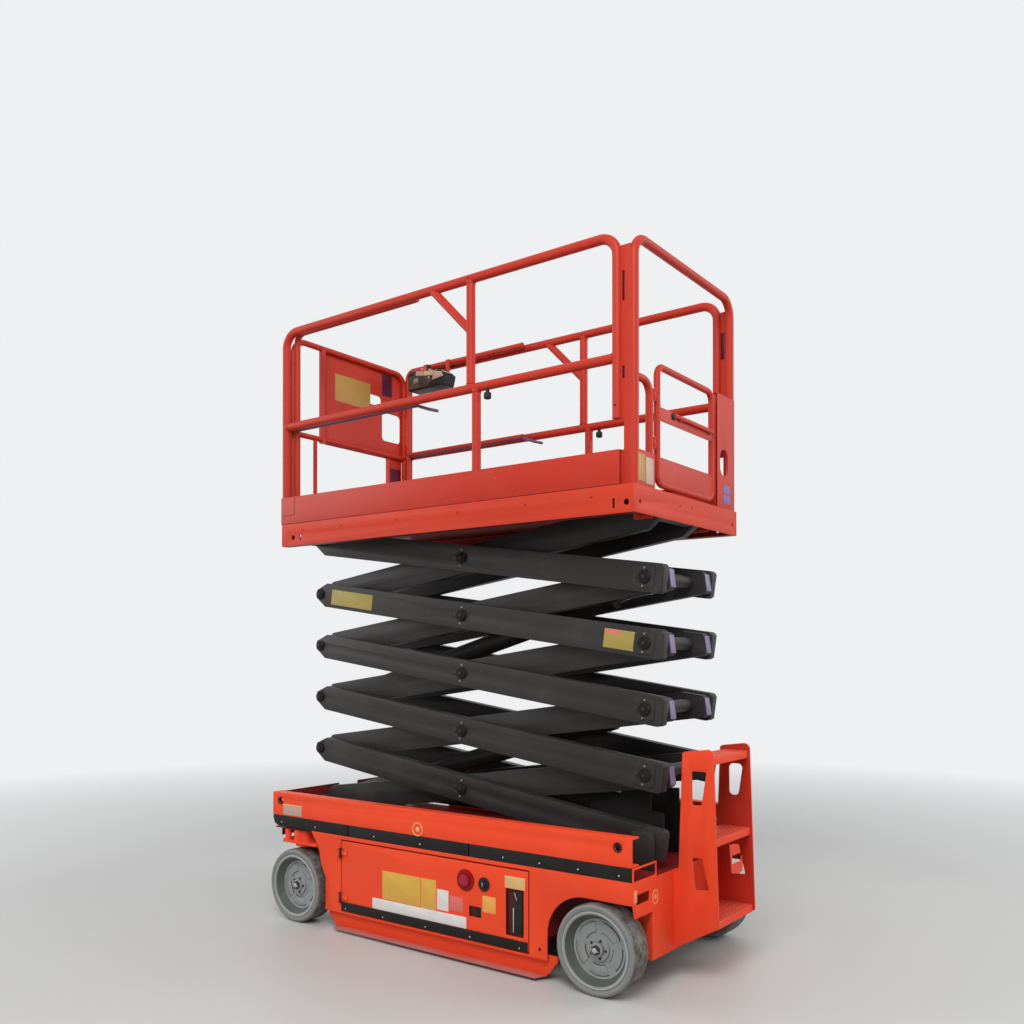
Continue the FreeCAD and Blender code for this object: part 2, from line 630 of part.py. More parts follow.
def arm_bar(name, outer_face, holes=(), tail=True, slope=0):
    """One bar, drawn level with its middle pivot at the origin. Its tail's top falls by slope."""
    d = s.arm_depth / 2
    chamfer = s.arm_depth / 3
    right = [(half + s.arm_tail, -d), (half + s.arm_tail, d - slope)] if tail else [
        (half - chamfer, -d), (half + s.arm_nose, -d + chamfer), (half + s.arm_nose, d - chamfer), (half - chamfer, d)]
    if slope and tail:
        right.append((half - 30, d))
    outline = [(-half - s.arm_nose, -d + chamfer), (-half + chamfer, -d), *right,
               (-half + chamfer, d), (-half - s.arm_nose, d - chamfer)]
    bores = [(x, 0, s.pin_radius + clearance) for x, clearance in holes]
    rounds = [(half + s.arm_tail, d - slope, 22), (half + s.arm_tail, -d, 22)] if tail else []
    return plate(name, "XZ", outline, outer_face - s.arm_width, s.arm_width, holes=bores, rounds=rounds)


def outer_arms(i):
    name = f"outer_arms_{i}"
    holes = [(0, s.pin_clearance), (half, s.pin_clearance)]
    if i < 5:
        near = arm_bar(name + "_bar", s.outer_y, [(-half, s.open_clearance)] + holes)
    else:
        reach = s.platform_y - 14
        bar = arm_bar(name + "_bar", s.outer_y, holes)
        axle = rod(name + "_axle", "Y", s.pin_radius, reach - s.outer_y + 10, (-half, -reach, 0))
        roller = rod(name + "_roller", "Y", 30, 34, (-half, -reach, 0))
        near = fuse(name + "_slider", bar, axle, roller)
    return node(name, place(pair(name + "_pair", near), middle_x, 0, stage_z(i), rest_angle))


def inner_arms(i):
    name = f"inner_arms_{i}"
    bar = arm_bar(name + "_bar", inner_y, tail=i < 5, slope=32)
    tube = s.cross_tube_radius
    parts = [bar, mirror(name + "_far_bar", bar)]
    for side, x in (("low", -half), ("high", half)):
        parts.append(rod(f"{name}_{side}_tube", "Y", tube, clear_y * 2, (x, -clear_y, 0)))
    reach = s.outer_y + 8
    for label, x in (("low", -half), ("middle", 0), ("high", half)):
        out = reach
        if i == 1 and label == "low":
            out = s.beam_y - s.beam_wall - 4
        if i == 5 and label == "high":
            out = reach + 26
        pin = rod(f"{name}_{label}_pin", "Y", s.pin_radius, out - clear_y, (x, -out, 0))
        parts += [pin, mirror(f"{name}_{label}_far_pin", pin)]
    if i == 1:
        roller = rod(name + "_roller", "Y", 40, 40, (-half, -s.beam_y + s.beam_wall + 4, 0))
        parts += [roller, mirror(name + "_far_roller", roller)]
    if i in (2, 4):
        ear = rod(name + "_ear", "Y", 34, clear_y - s.eye_half - 6, (eye_at, -clear_y, 0))
        parts += [ear, mirror(name + "_far_ear", ear)]
    frame = fuse(name + "_frame", *parts)
    return node(name, place(frame, middle_x, 0, stage_z(i), -rest_angle))


def lifts():
    """Two lift cylinders on the middle plane. Each turns on a low cross tube and pushes ears two
    arms up, where its rod's eye lies open between them."""
    for i in (1, 3):
        name = f"lift_cylinder_{i}"
        x, z = middle_x - half * cos_deg(rest_angle), stage_z(i) - half * sin_deg(rest_angle)
        tube_bore = rod(name + "_foot_bore", "Y", s.cross_tube_radius + s.pin_clearance, s.barrel_radius * 3,
                        (0, s.barrel_radius * -1.5, 0))
        foot = rod(name + "_foot", "Y", 52, s.eye_half * 2, (0, -s.eye_half, 0))
        shell = rod(name + "_shell", "X", s.barrel_radius, barrel_length, (0, 0, 0))
        hollow = rod(name + "_hollow", "X", s.rod_radius + 6, barrel_length - 90 - 60, (90, 0, 0))
        gland = rod(name + "_gland", "X", s.rod_radius + s.pin_clearance, 80, (barrel_length - 61, 0, 0))
        barrel = cut(name + "_barrel", fuse(name + "_body", foot, shell), tube_bore, hollow, gland)
        node(f"lift_barrel_{i}", place(barrel, x, 0, z, -lift_angle))
        shaft = rod(name + "_shaft", "X", s.rod_radius, lift_length - s.rod_tail, (s.rod_tail, 0, 0))
        eye = rod(name + "_eye", "Y", 42, s.eye_half * 2, (lift_length, -s.eye_half, 0))
        node(f"lift_rod_{i}", place(fuse(name + "_rod", shaft, eye), x, 0, z, -lift_angle))


def base_pivots():
    """Pins and brackets that hold the lowest outer arms to the chassis deck."""
    y = s.outer_y + 8
    x, z = s.pivot_x, s.pivot_z
    ear = box("base_ear", (x - 55, -y - 12, s.deck_z), (x + 55, -y, z + 45))
    pin = rod("base_pin", "Y", s.pin_radius, 12 + 8 + s.arm_width - 2, (x, -y - 12, z))
    return node("base_pivots", pair("base_pivot_pair", fuse("base_pivot", ear, pin)))


# Platform

channel_bottom_z = s.pivot_z + 5 * s.stage_rise - s.platform_drop
floor_z = channel_bottom_z + s.platform_depth
rail_top_z = floor_z + s.rail_height
tube = s.rail_tube


def platform_frame():
    """Side channels, end members, floor sheet and the ears over the fixed upper pivots."""
    wall = 6
    y = s.platform_y
    front, rear = platform_front_x + 8, s.platform_rear_x
    z0, z1 = channel_bottom_z, floor_z
    outline = [(-y, z0), (-y + 50, z0), (-y + 50, z0 + wall), (-y + wall, z0 + wall), (-y + wall, z1 - wall),
               (-y + 50, z1 - wall), (-y + 50, z1), (-y, z1)]
    channel = plate("platform_channel", "YZ", outline, front, rear - front)
    eye_z = z0 + 44
    eyes = [rod("channel_eye_rear", "Y", 13, wall + 2, (rear - 38, -y - 1, eye_z)),
            box("channel_slot_rear", (rear - 106, -y - 1, eye_z - 21), (rear - 95, -y + wall + 1, eye_z + 21)),
            rod("channel_eye_front", "Y", 13, wall + 2, (front + 95, -y - 1, eye_z)),
            box("channel_slot_front", (front + 148, -y - 1, eye_z - 17), (front + 158, -y + wall + 1, eye_z + 17))]
    near = cut("platform_channel_near", channel, *eyes)
    far = mirror("platform_channel_far", near)
    end = plate("platform_end", "YZ", rectangle((-y + 2, z0), (y - 2, z1)), rear - 6, 6,
                holes=[(side * (y - 52), eye_z + 4, 9) for side in (-1, 1)])
    sheet_top = box("platform_sheet", (front, -y + 40, z1 - 6), (rear, y - 40, z1))
    parts = [near, far, end, sheet_top]
    ear_y = s.outer_y - s.arm_width
    ear = box("platform_ear", (s.pivot_x - 45, -s.outer_y - 20, z0 + 2), (s.pivot_x + 45, -s.outer_y - 8, z1 - 3))
    hole = rod("platform_ear_bore", "Y", s.pin_radius + s.pin_clearance, 20, (s.pivot_x, -s.outer_y - 24, s.pivot_z + 5 * s.stage_rise))
    bored = cut("platform_ear_bored", ear, hole)
    parts += [bored, mirror("platform_ear_far", bored)]
    return node("platform_frame", fuse("platform", *parts))


def side_rails():
    """Guard rail with middle posts, a mid rail, a brace and a toe board, and the slotted plate
    that ties it to the frame round the gateway and carries the foot of its rear tube."""
    y0 = s.platform_y
    x0, x1 = platform_front_x, s.side_rail_rear_x
    z0, z1 = floor_z, rail_top_z
    mid = floor_z + s.mid_rail_height
    post, low_post = 95, 129
    toe = z0 + s.toe_height
    outline = rectangle((x0, z0), (x1, z1))
    upper = mid + tube / 2
    lower = mid - tube / 2
    windows = [
        rectangle((x0 + tube, upper), (post, z1 - tube)),
        rectangle((post + tube, upper), (x1 - tube, z1 - tube)),
        rectangle((x0 + tube, toe), (low_post, lower)),
        rectangle((low_post + tube, toe), (x1 - tube, lower)),
    ]
    bend = s.rail_bend
    near = plate("near_rail", "XZ", outline, y0 - tube, tube, windows,
                 rounds=[(x0, z1, bend), (x1, z1, bend), (x0 + tube, z1 - tube, bend - tube),
                         (x1 - tube, z1 - tube, bend - tube)])
    recess = box("toe_recess", (x0 + tube, -y0 + 4, z0 - 1), (x1 - tube, -y0 + tube + 1, toe + 1))
    foot, head = post + tube / 2, z1 - tube / 2
    brace = plate("rail_brace", "XZ", [(foot - 264, head), (foot - 222, head), (foot, head - 228), (foot, head - 272)],
                  y0 - tube + 6, tube - 12)
    back = s.platform_rear_x - tube
    slots = [rectangle((x1 + 10, head - 272), (x1 + 20, head - 122)), rectangle((x1 + 10, head - 672), (x1 + 20, head - 614))]
    tie = plate("rail_tie", "XZ", rectangle((x1 - 4, z0), (back, z1 - bend)), y0 - 24, 8, slots)
    notch = box("rail_foot_notch", (x1 - tube - 1, -y0 - 1, toe), (x1 + 1, -y0 + tube + 1, z0 + s.rail_joint))
    rail = fuse("near_rail_braced", cut("near_rail_open", near, recess, notch), brace, tie)
    node("side_rail_near", rail)
    node("side_rail_far", mirror("far_rail", rail))


gate_front_y = s.gate_hinge_y + s.gate_gap
gate_x = s.platform_rear_x - s.rail_tube / 2
gate_hinge_z = [floor_z + 190, floor_z + 400]


def rear_frame():
    """Inverted U round the gateway, with a short fixed rail on the hinge side, a wide latch plate
    on the other and two hinge pins."""
    y = s.end_frame_y
    z0, z1 = floor_z, rail_top_z - 12
    near_top = floor_z + 480
    far_top = floor_z + s.gate_height - 8
    near_post, far_post = s.gate_hinge_y - s.gate_gap, s.gate_far_y + s.latch_gap
    outline = rectangle((-y, z0), (y, z1))
    opening = [(-y + tube, near_top), (near_post, near_top), (near_post, z0 - 5), (far_post, z0 - 5), (far_post, far_top),
               (y - tube, far_top), (y - tube, z1 - tube), (-y + tube, z1 - tube)]
    panel = rectangle((-y + tube, z0 + s.toe_height), (near_post - 34, near_top - 34))
    oval = rectangle((far_post + 30, z0 + 158), (far_post + 124, z0 + 291))
    bend = s.rail_bend
    corners = [(far_post + u, z0 + v, 40) for u in (30, 124) for v in (158, 291)]
    frame = plate("rear_frame_plate", "YZ", outline, s.platform_rear_x - tube, tube, [opening, panel, oval],
                  rounds=[(-y, z1, bend), (y, z1, bend), (-y + tube, z1 - tube, bend - tube),
                          (y - tube, z1 - tube, bend - tube), (near_post, near_top, 50), (far_post, far_top, 30), *corners])
    hollow = box("rear_frame_recess", (s.platform_rear_x - tube - 1, far_post + 8, z0 - 1), (s.platform_rear_x - 8, y - 8, far_top - 8))
    toe = box("rear_toe_recess", (s.platform_rear_x - tube - 1, -y + tube, z0 - 1),
              (s.platform_rear_x - 6, near_post - 34, z0 + s.toe_height + 1))
    parts = [cut("rear_frame_open", frame, hollow, toe)]
    for i, z in enumerate(gate_hinge_z):
        parts.append(rod(f"gate_pin_{i}", "Z", 6, 52, (gate_x, s.gate_hinge_y, z - 12)))
        for k, low in enumerate((z - 12, z + 28.5)):
            parts.append(rod(f"gate_pin_end_{i}_{k}", "Z", 13, 11.5, (gate_x, s.gate_hinge_y, low)))
            parts.append(box(f"gate_bracket_{i}_{k}", (gate_x - 8, near_post - 10, low), (gate_x + 8, s.gate_hinge_y, low + 11.5)))
    return node("rear_frame", fuse("rear_frame_hinged", *parts))


def gate():
    y0, y1 = gate_front_y, s.gate_far_y
    z0 = floor_z + 15
    z1 = floor_z + s.gate_height
    t = 30
    outline = rectangle((y0, z0), (y1, z1))
    windows = [rectangle((y0 + t, z0 + 130), (y1 - t, z0 + 295)), rectangle((y0 + t, z0 + 355), (y1 - t, z1 - t))]
    leaf = plate("gate_leaf", "YZ", outline, gate_x - 14, 28, windows,
                 rounds=[(y0, z1, 85), (y0 + t, z1 - t, 55), (y1, z1, 40)])
    kick = box("kick_recess", (gate_x - 15, y0 + t, z0 - 1), (gate_x + 9, y1 - t, z0 + 131))
    parts = [cut("gate_leaf_open", leaf, kick)]
    for i, z in enumerate(gate_hinge_z):
        knuckle = rod(f"gate_knuckle_{i}", "Z", 13, 28, (gate_x, s.gate_hinge_y, z))
        arm = box(f"gate_arm_{i}", (gate_x - 7, s.gate_hinge_y, z), (gate_x + 7, y0 + 6, z + 28))
        bore = rod(f"gate_bore_{i}", "Z", 6 + s.pin_clearance, 30, (gate_x, s.gate_hinge_y, z - 1))
        parts.append(cut(f"gate_strap_{i}", fuse(f"gate_strap_solid_{i}", knuckle, arm), bore))
    return node("entry_gate", fuse("gate", *parts))


def extension():
    """Roll-out deck with its own rails, pushed in."""
    y = s.extension_y
    x0 = platform_front_x
    z0 = floor_z + s.seat_gap
    back = x0 + s.extension_travel + 80
    deck = box("extension_sheet", (x0, -y, z0), (back, y, z0 + 6))
    toe = box("extension_toe", (x0, -y, z0 - 28), (x0 + 6, y, z0 + s.toe_height))
    node("extension_deck", fuse("extension_floor", deck, toe))
    top = rail_top_z - 20
    mid = floor_z + s.mid_rail_height
    zb = z0 + 6
    bar = 34
    near_edge, thin = -250, 24
    windows = [rectangle((-y + bar, zb + s.toe_height), (near_edge - 30 - thin, mid - 40)),
               rectangle((near_edge - 30, zb + s.toe_height), (y - 172, mid - 40)),
               rectangle((-y + bar, mid), (near_edge, top - bar)),
               rectangle((264, mid + 70), (y - 46, mid + 245)), rectangle((143, mid + 276), (254, mid + 336))]
    plain = plate("extension_front", "YZ", rectangle((-y, zb), (y, top)), x0 + 6, bar, windows,
                  rounds=[(-y, top, 90), (y, top, 90), (-y + bar, top - bar, 56)])
    recess = box("front_recess", (x0 + 14, near_edge + bar, mid - 10), (x0 + bar + 7, y - bar, top - bar))
    pocket = box("front_pocket", (x0 + 14, y - 148, zb + s.toe_height - 5), (x0 + bar + 7, y - bar, mid - 41))
    toe_recess = box("front_toe_recess", (x0 + 12, -y + bar, zb - 1), (x0 + bar + 7, y - bar, zb + s.toe_height - 4))
    node("extension_front_frame", cut("extension_front_open", plain, recess, pocket, toe_recess))
    bar_back = back - 20
    front, high = x0 + 40, rail_top_z
    side = plate("extension_side", "XZ", [(front, zb), (front + bar, zb), (front + bar, mid - 20), (bar_back, mid - 20), (bar_back, mid + 14),
                                          (front + bar, mid + 14), (front + bar, high - bar), (bar_back, high - bar),
                                          (bar_back, high), (front, high)], y - bar, bar, rounds=[(front, high, 60)])
    node("extension_side_near", side)
    node("extension_side_far", mirror("extension_side_far_rail", side))
    box_y = y - bar
    foot, head = top - 165, top - 45
    case = plate("controls", "XZ", [(x0 + 172, foot), (x0 + 455, foot), (x0 + 472, foot + 65), (x0 + 440, head - 28),
                                    (x0 + 190, head), (x0 + 170, head - 20)], -box_y, 110)
    stick = rod("joystick", "Z", 14, 75, (x0 + 300, box_y - 60, head - 20))
    hangers = [box(f"control_hanger_{i}", (x, box_y - 6, head - 40), (x + 30, box_y, high - 2))
               for i, x in enumerate((x0 + 210, x0 + 390))]
    node("control_box", fuse("control_case", case, stick, *hangers))


side_beams()
black_strips()
side_panels()
chassis_tub()
end_plates()
ladder()
doors()
guards()
wheels()
axles()
knuckles()
battery()
base_pivots()
lifts()
for stage in range(1, 6):
    outer_arms(stage)
    inner_arms(stage)
platform_frame()
side_rails()
rear_frame()
gate()
extension()
doc.recompute()

for thing in doc.Objects:
    if "Invalid" in thing.State or "Error" in thing.State:
        raise RuntimeError(f"{thing.Name} failed: {thing.State}")
os.makedirs("parts", exist_ok=True)
for thing in NODES:
    shape = thing.Shape
    if shape.isNull() or not shape.isValid() or not shape.Solids:
        raise RuntimeError(f"{thing.Label} has no valid solid")
    shape.exportStep(f"parts/{thing.Label}.step")
    print(thing.Label, len(shape.Solids), round(shape.Volume / 1e6, 3))
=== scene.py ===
import bpy
import bmesh
import json
import math
from mathutils import Matrix, Vector


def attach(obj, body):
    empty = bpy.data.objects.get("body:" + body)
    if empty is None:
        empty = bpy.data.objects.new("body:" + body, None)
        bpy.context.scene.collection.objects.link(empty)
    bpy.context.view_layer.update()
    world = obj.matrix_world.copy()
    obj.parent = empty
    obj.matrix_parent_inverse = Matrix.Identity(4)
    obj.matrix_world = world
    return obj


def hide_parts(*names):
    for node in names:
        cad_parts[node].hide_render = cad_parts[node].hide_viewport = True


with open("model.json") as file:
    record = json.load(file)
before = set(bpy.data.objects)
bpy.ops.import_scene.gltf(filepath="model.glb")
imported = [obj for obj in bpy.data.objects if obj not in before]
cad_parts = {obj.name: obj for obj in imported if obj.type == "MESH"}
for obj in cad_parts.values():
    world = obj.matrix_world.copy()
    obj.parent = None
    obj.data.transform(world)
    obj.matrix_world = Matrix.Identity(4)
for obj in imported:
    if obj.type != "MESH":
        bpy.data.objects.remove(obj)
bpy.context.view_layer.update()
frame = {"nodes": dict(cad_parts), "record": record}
nodes = frame["nodes"]
slots = {sub["node"]: sub["material_slot"] for sub in frame["record"]["subparts"]}
bodyOf = {node: body for body, held in frame["record"]["behaviour"]["bodies"].items() for node in held}
print("frame loaded,", len(nodes), "nodes")


# Paints and finishes

def newMaterial(name):
    mat = bpy.data.materials.new(name)
    mat.use_nodes = True
    tree = mat.node_tree
    tree.nodes.clear()
    out = tree.nodes.new("ShaderNodeOutputMaterial")
    shader = tree.nodes.new("ShaderNodeBsdfPrincipled")
    tree.links.new(shader.outputs["BSDF"], out.inputs["Surface"])
    coords = tree.nodes.new("ShaderNodeTexCoord")
    return mat, tree, shader, coords.outputs["Object"]


def noise(tree, place, scale, detail=4.0, rough=0.5):
    tex = tree.nodes.new("ShaderNodeTexNoise")
    tex.inputs["Scale"].default_value = scale
    tex.inputs["Detail"].default_value = detail
    tex.inputs["Roughness"].default_value = rough
    tree.links.new(place, tex.inputs["Vector"])
    return tex.outputs["Fac"]


def ramp(tree, value, low, high, first, second):
    node = tree.nodes.new("ShaderNodeMapRange")
    node.inputs["From Min"].default_value = low
    node.inputs["From Max"].default_value = high
    node.inputs["To Min"].default_value = first
    node.inputs["To Max"].default_value = second
    tree.links.new(value, node.inputs["Value"])
    return node.outputs["Result"]


def combine(tree, how, first, second):
    node = tree.nodes.new("ShaderNodeMath")
    node.operation = how
    for socket, value in zip(node.inputs, (first, second)):
        if isinstance(value, (int, float)):
            socket.default_value = value
        else:
            tree.links.new(value, socket)
    return node.outputs["Value"]


def blendColour(tree, amount, first, second):
    mix = tree.nodes.new("ShaderNodeMix")
    mix.data_type = "RGBA"
    tree.links.new(amount, mix.inputs["Factor"])
    for socket, colour in ((mix.inputs[6], first), (mix.inputs[7], second)):
        if isinstance(colour, tuple):
            socket.default_value = (*colour, 1)
        else:
            tree.links.new(colour, socket)
    return mix.outputs[2]


def bump(tree, shader, height, strength, distance):
    node = tree.nodes.new("ShaderNodeBump")
    node.inputs["Strength"].default_value = strength
    node.inputs["Distance"].default_value = distance
    tree.links.new(height, node.inputs["Height"])
    tree.links.new(node.outputs["Normal"], shader.inputs["Normal"])


# Sprayed enamel: cloudy shade, orange peel, dust in patches and a few small chips
def enamel(name, colour, shade, rough, chips=0.0, dust=0.25, dustColour=(0.42, 0.40, 0.37), gloss=0.3):
    mat, tree, shader, place = newMaterial(name)
    shader.inputs["Specular IOR Level"].default_value = gloss
    clouds = noise(tree, place, 1.6, 3.0, 0.5)
    patches = noise(tree, place, 5.0, 4.0, 0.55)
    colour = blendColour(tree, ramp(tree, clouds, 0.35, 0.72, 0.0, 1.0), colour, shade)
    dustAmount = ramp(tree, patches, 0.55, 0.85, 0.0, dust)
    colour = blendColour(tree, dustAmount, colour, dustColour)
    if chips > 0:
        spots = ramp(tree, noise(tree, place, 52.0, 3.0, 0.55), 0.69, 0.72, 0.0, chips)
        where = ramp(tree, patches, 0.54, 0.60, 0.0, 1.0)
        colour = blendColour(tree, combine(tree, "MULTIPLY", spots, where), colour, (0.30, 0.20, 0.17))
    tree.links.new(colour, shader.inputs["Base Color"])
    tree.links.new(ramp(tree, patches, 0.3, 0.8, rough - 0.03, rough + 0.07), shader.inputs["Roughness"])
    bump(tree, shader, noise(tree, place, 240.0, 2.0, 0.5), 0.10, 0.0006)
    return mat


# Painted shade over part of a paint, by which way its faces look: darker on faces that look down, or on the inner sides
# of a pair of plates; the same mix also tints faces that look up
def paintedShadeAndTint(mat, where, low, high, amount, colour):
    tree = mat.node_tree
    shader = next(node for node in tree.nodes if node.type == "BSDF_PRINCIPLED")
    geometry = tree.nodes.new("ShaderNodeNewGeometry")
    facing = tree.nodes.new("ShaderNodeSeparateXYZ")
    tree.links.new(geometry.outputs["True Normal"], facing.inputs["Vector"])
    value = facing.outputs["Z"]
    if where == "inner sides":
        coords = tree.nodes.new("ShaderNodeTexCoord")
        spot = tree.nodes.new("ShaderNodeSeparateXYZ")
        tree.links.new(coords.outputs["Object"], spot.inputs["Vector"])
        value = combine(tree, "MULTIPLY", spot.outputs["Y"], facing.outputs["Y"])
    paint = shader.inputs["Base Color"].links[0].from_socket
    tree.links.new(blendColour(tree, ramp(tree, value, low, high, amount, 0.0), paint, colour), shader.inputs["Base Color"])
    return mat


def rubber(name, colour, dusty, rough=0.75, grain=320.0):
    mat, tree, shader, place = newMaterial(name)
    shader.inputs["Specular IOR Level"].default_value = 0.22
    smudges = noise(tree, place, 9.0, 6.0, 0.65)
    tree.links.new(blendColour(tree, ramp(tree, smudges, 0.4, 0.7, 0.0, 1.0), colour, dusty), shader.inputs["Base Color"])
    tree.links.new(ramp(tree, smudges, 0.3, 0.7, rough - 0.1, rough + 0.12), shader.inputs["Roughness"])
    bump(tree, shader, noise(tree, place, grain, 3.0, 0.6), 0.3, 0.0008)
    return mat


# Tyre rubber, dirtier and rougher on its tread than on its sides
def tyreMaterial(name, side, tread):
    mat, tree, shader, place = newMaterial(name)
    geometry = tree.nodes.new("ShaderNodeNewGeometry")
    split = tree.nodes.new("ShaderNodeSeparateXYZ")
    tree.links.new(geometry.outputs["True Normal"], split.inputs["Vector"])
    across = combine(tree, "ABSOLUTE", split.outputs["Y"], 0.0)
    smudges = noise(tree, place, 22.0, 6.0, 0.7)
    amount = combine(tree, "MULTIPLY", ramp(tree, across, 0.2, 0.8, 1.0, 0.0), ramp(tree, smudges, 0.35, 0.6, 0.2, 1.0))
    tree.links.new(blendColour(tree, amount, side, tread), shader.inputs["Base Color"])
    tree.links.new(ramp(tree, smudges, 0.3, 0.7, 0.62, 0.85), shader.inputs["Roughness"])
    bump(tree, shader, noise(tree, place, 180.0, 5.0, 0.65), 0.35, 0.0012)
    return mat


def metal(name, colour, rough, stretch):
    mat, tree, shader, place = newMaterial(name)
    mapping = tree.nodes.new("ShaderNodeMapping")
    mapping.inputs["Scale"].default_value = stretch
    tree.links.new(place, mapping.inputs["Vector"])
    lines = noise(tree, mapping.outputs["Vector"], 60.0, 3.0, 0.6)
    tree.links.new(blendColour(tree, ramp(tree, lines, 0.35, 0.65, 0.0, 1.0), colour, tuple(c * 0.82 for c in colour)),
                   shader.inputs["Base Color"])
    shader.inputs["Metallic"].default_value = 1.0
    tree.links.new(ramp(tree, lines, 0.3, 0.7, rough - 0.08, rough + 0.1), shader.inputs["Roughness"])
    bump(tree, shader, lines, 0.08, 0.0005)
    return mat


# Printed film on a plate: an even colour with faint fading and fine scuffs
def film(name, colour, rough=0.42):
    mat, tree, shader, place = newMaterial(name)
    fading = noise(tree, place, 18.0, 5.0, 0.6)
    scuffs = noise(tree, place, 130.0, 4.0, 0.7)
    worn = blendColour(tree, ramp(tree, fading, 0.35, 0.75, 0.0, 0.5), colour, tuple(c * 0.82 for c in colour))
    worn = blendColour(tree, ramp(tree, scuffs, 0.66, 0.8, 0.0, 0.6), worn, tuple(0.55 * c + 0.2 for c in colour))
    tree.links.new(worn, shader.inputs["Base Color"])
    tree.links.new(ramp(tree, scuffs, 0.3, 0.8, rough - 0.05, rough + 0.2), shader.inputs["Roughness"])
    bump(tree, shader, scuffs, 0.06, 0.0003)
    return mat


redPaint = enamel("red enamel", (0.91, 0.080, 0.026), (0.86, 0.070, 0.024), 0.46, chips=0.5, dust=0.03, gloss=0.13)
railPaint = enamel("red rail enamel", (0.51, 0.036, 0.017), (0.46, 0.031, 0.015), 0.42, chips=0.4, dust=0.02, gloss=0.20)
# platform paint darker on faces that look down: painted shade under the platform
platformRed = paintedShadeAndTint(enamel("red platform enamel", (0.60, 0.052, 0.023), (0.55, 0.045, 0.021), 0.46, chips=0.5, dust=0.03,
                           gloss=0.13), "down", -0.95, -0.5, 0.8, (0.10, 0.012, 0.010))
# ladder paint darker on the inner sides of its side plates: painted shade between them
ladderRed = paintedShadeAndTint(enamel("red ladder enamel", (0.87, 0.074, 0.026), (0.82, 0.066, 0.024), 0.46, chips=0.5, dust=0.03,
                         gloss=0.13), "inner sides", -0.18, -0.12, 0.7, (0.36, 0.016, 0.012))
# faces that look up are mixed towards a grey brown
paintedShadeAndTint(ladderRed, "down", 0.98, 0.6, 0.4, (0.22, 0.10, 0.085))
wornRed = enamel("worn red enamel", (0.40, 0.19, 0.17), (0.56, 0.09, 0.06), 0.6, chips=0.6, dust=0.3, gloss=0.2)
innerRed = enamel("red enamel inside", (0.23, 0.012, 0.012), (0.18, 0.010, 0.010), 0.5, dust=0.08, gloss=0.2)
plateRed = enamel("dark red switch plate", (0.30, 0.006, 0.007), (0.26, 0.006, 0.007), 0.4, dust=0.02, gloss=0.12)
armPaint = enamel("charcoal enamel", (0.027, 0.0235, 0.0225), (0.035, 0.031, 0.0295), 0.44, dust=0.05, gloss=0.22)
capPaint = enamel("grey end plate enamel", (0.22, 0.165, 0.30), (0.17, 0.13, 0.24), 0.40, dust=0.10, gloss=0.4)
# dark grey for the wheel rim's inner wall: painted shade
wallShadePaint = enamel("painted shade on wheel wall", (0.105, 0.110, 0.100), (0.085, 0.090, 0.080), 0.5, dust=0.1, gloss=0.3)
rimPaint = enamel("grey wheel enamel", (0.31, 0.325, 0.315), (0.26, 0.275, 0.265), 0.48, dust=0.15, gloss=0.3)
lipAndHighlightPaint = enamel("pale wheel lip and painted highlight", (0.46, 0.49, 0.48), (0.36, 0.39, 0.385), 0.4, dust=0.1, gloss=0.4)
# dark hinge paint, also used as painted shade in the door recesses and round the beam holes
hingeAndShadePaint = enamel("dark hinge and painted shade enamel", (0.10, 0.014, 0.012), (0.07, 0.010, 0.009), 0.5, dust=0.05, gloss=0.25)
seamShadow = enamel("violet shade enamel", (0.085, 0.006, 0.032), (0.07, 0.005, 0.028), 0.55, dust=0.04, gloss=0.2)
leverPaint = enamel("grey violet enamel", (0.17, 0.11, 0.20), (0.11, 0.07, 0.13), 0.5, dust=0.05)
batteryCase = enamel("battery case", (0.03, 0.03, 0.032), (0.05, 0.05, 0.052), 0.5)
tyreRubber = tyreMaterial("grey tyre rubber", (0.215, 0.218, 0.21), (0.062, 0.049, 0.038))
stripRubber = rubber("black strip", (0.009, 0.008, 0.0075), (0.017, 0.015, 0.014), 0.6)
blackPlastic = rubber("black plastic", (0.010, 0.0095, 0.010), (0.022, 0.021, 0.021), 0.5)
darkInside = rubber("dark inside", (0.008, 0.007, 0.007), (0.016, 0.013, 0.012), 0.8)
redButton = enamel("red switch plastic", (0.40, 0.012, 0.045), (0.35, 0.01, 0.036), 0.3, dust=0.03, gloss=0.25)
paleCover = rubber("pale cover plastic", (0.52, 0.36, 0.30), (0.40, 0.26, 0.22), 0.5)
beigeCover = rubber("beige cover plastic", (0.60, 0.42, 0.24), (0.48, 0.33, 0.19), 0.5)
brownCover = rubber("brown pouch", (0.055, 0.034, 0.022), (0.13, 0.10, 0.075), 0.7)
greyPlastic = rubber("grey plastic", (0.20, 0.20, 0.21), (0.27, 0.27, 0.27), 0.5)
chrome = metal("ground chrome", (0.72, 0.73, 0.75), 0.16, (1, 1, 1))
steel = metal("bright steel", (0.56, 0.57, 0.58), 0.34, (1, 20, 20))
zinc = metal("zinc plated steel", (0.62, 0.60, 0.55), 0.36, (6, 6, 6))
yellowFilm = film("yellow plate film", (0.74, 0.42, 0.060))
paleYellow = film("pale yellow film", (0.75, 0.48, 0.18))
whiteFilm = film("white plate film", (0.80, 0.77, 0.74))
pinkFilm = film("red plate film", (0.76, 0.165, 0.145))
blueFilm = film("blue plate film", (0.10, 0.13, 0.42))
orangeFilm = film("orange plate film", (0.90, 0.30, 0.14))
oliveFilm = film("olive plate film", (0.38, 0.29, 0.053))
ochreFilm = film("ochre plate film", (0.44, 0.24, 0.035))
amberFilm = film("amber plate film", (0.90, 0.40, 0.080))
fadedFilm = film("faded plate film", (0.54, 0.36, 0.29))

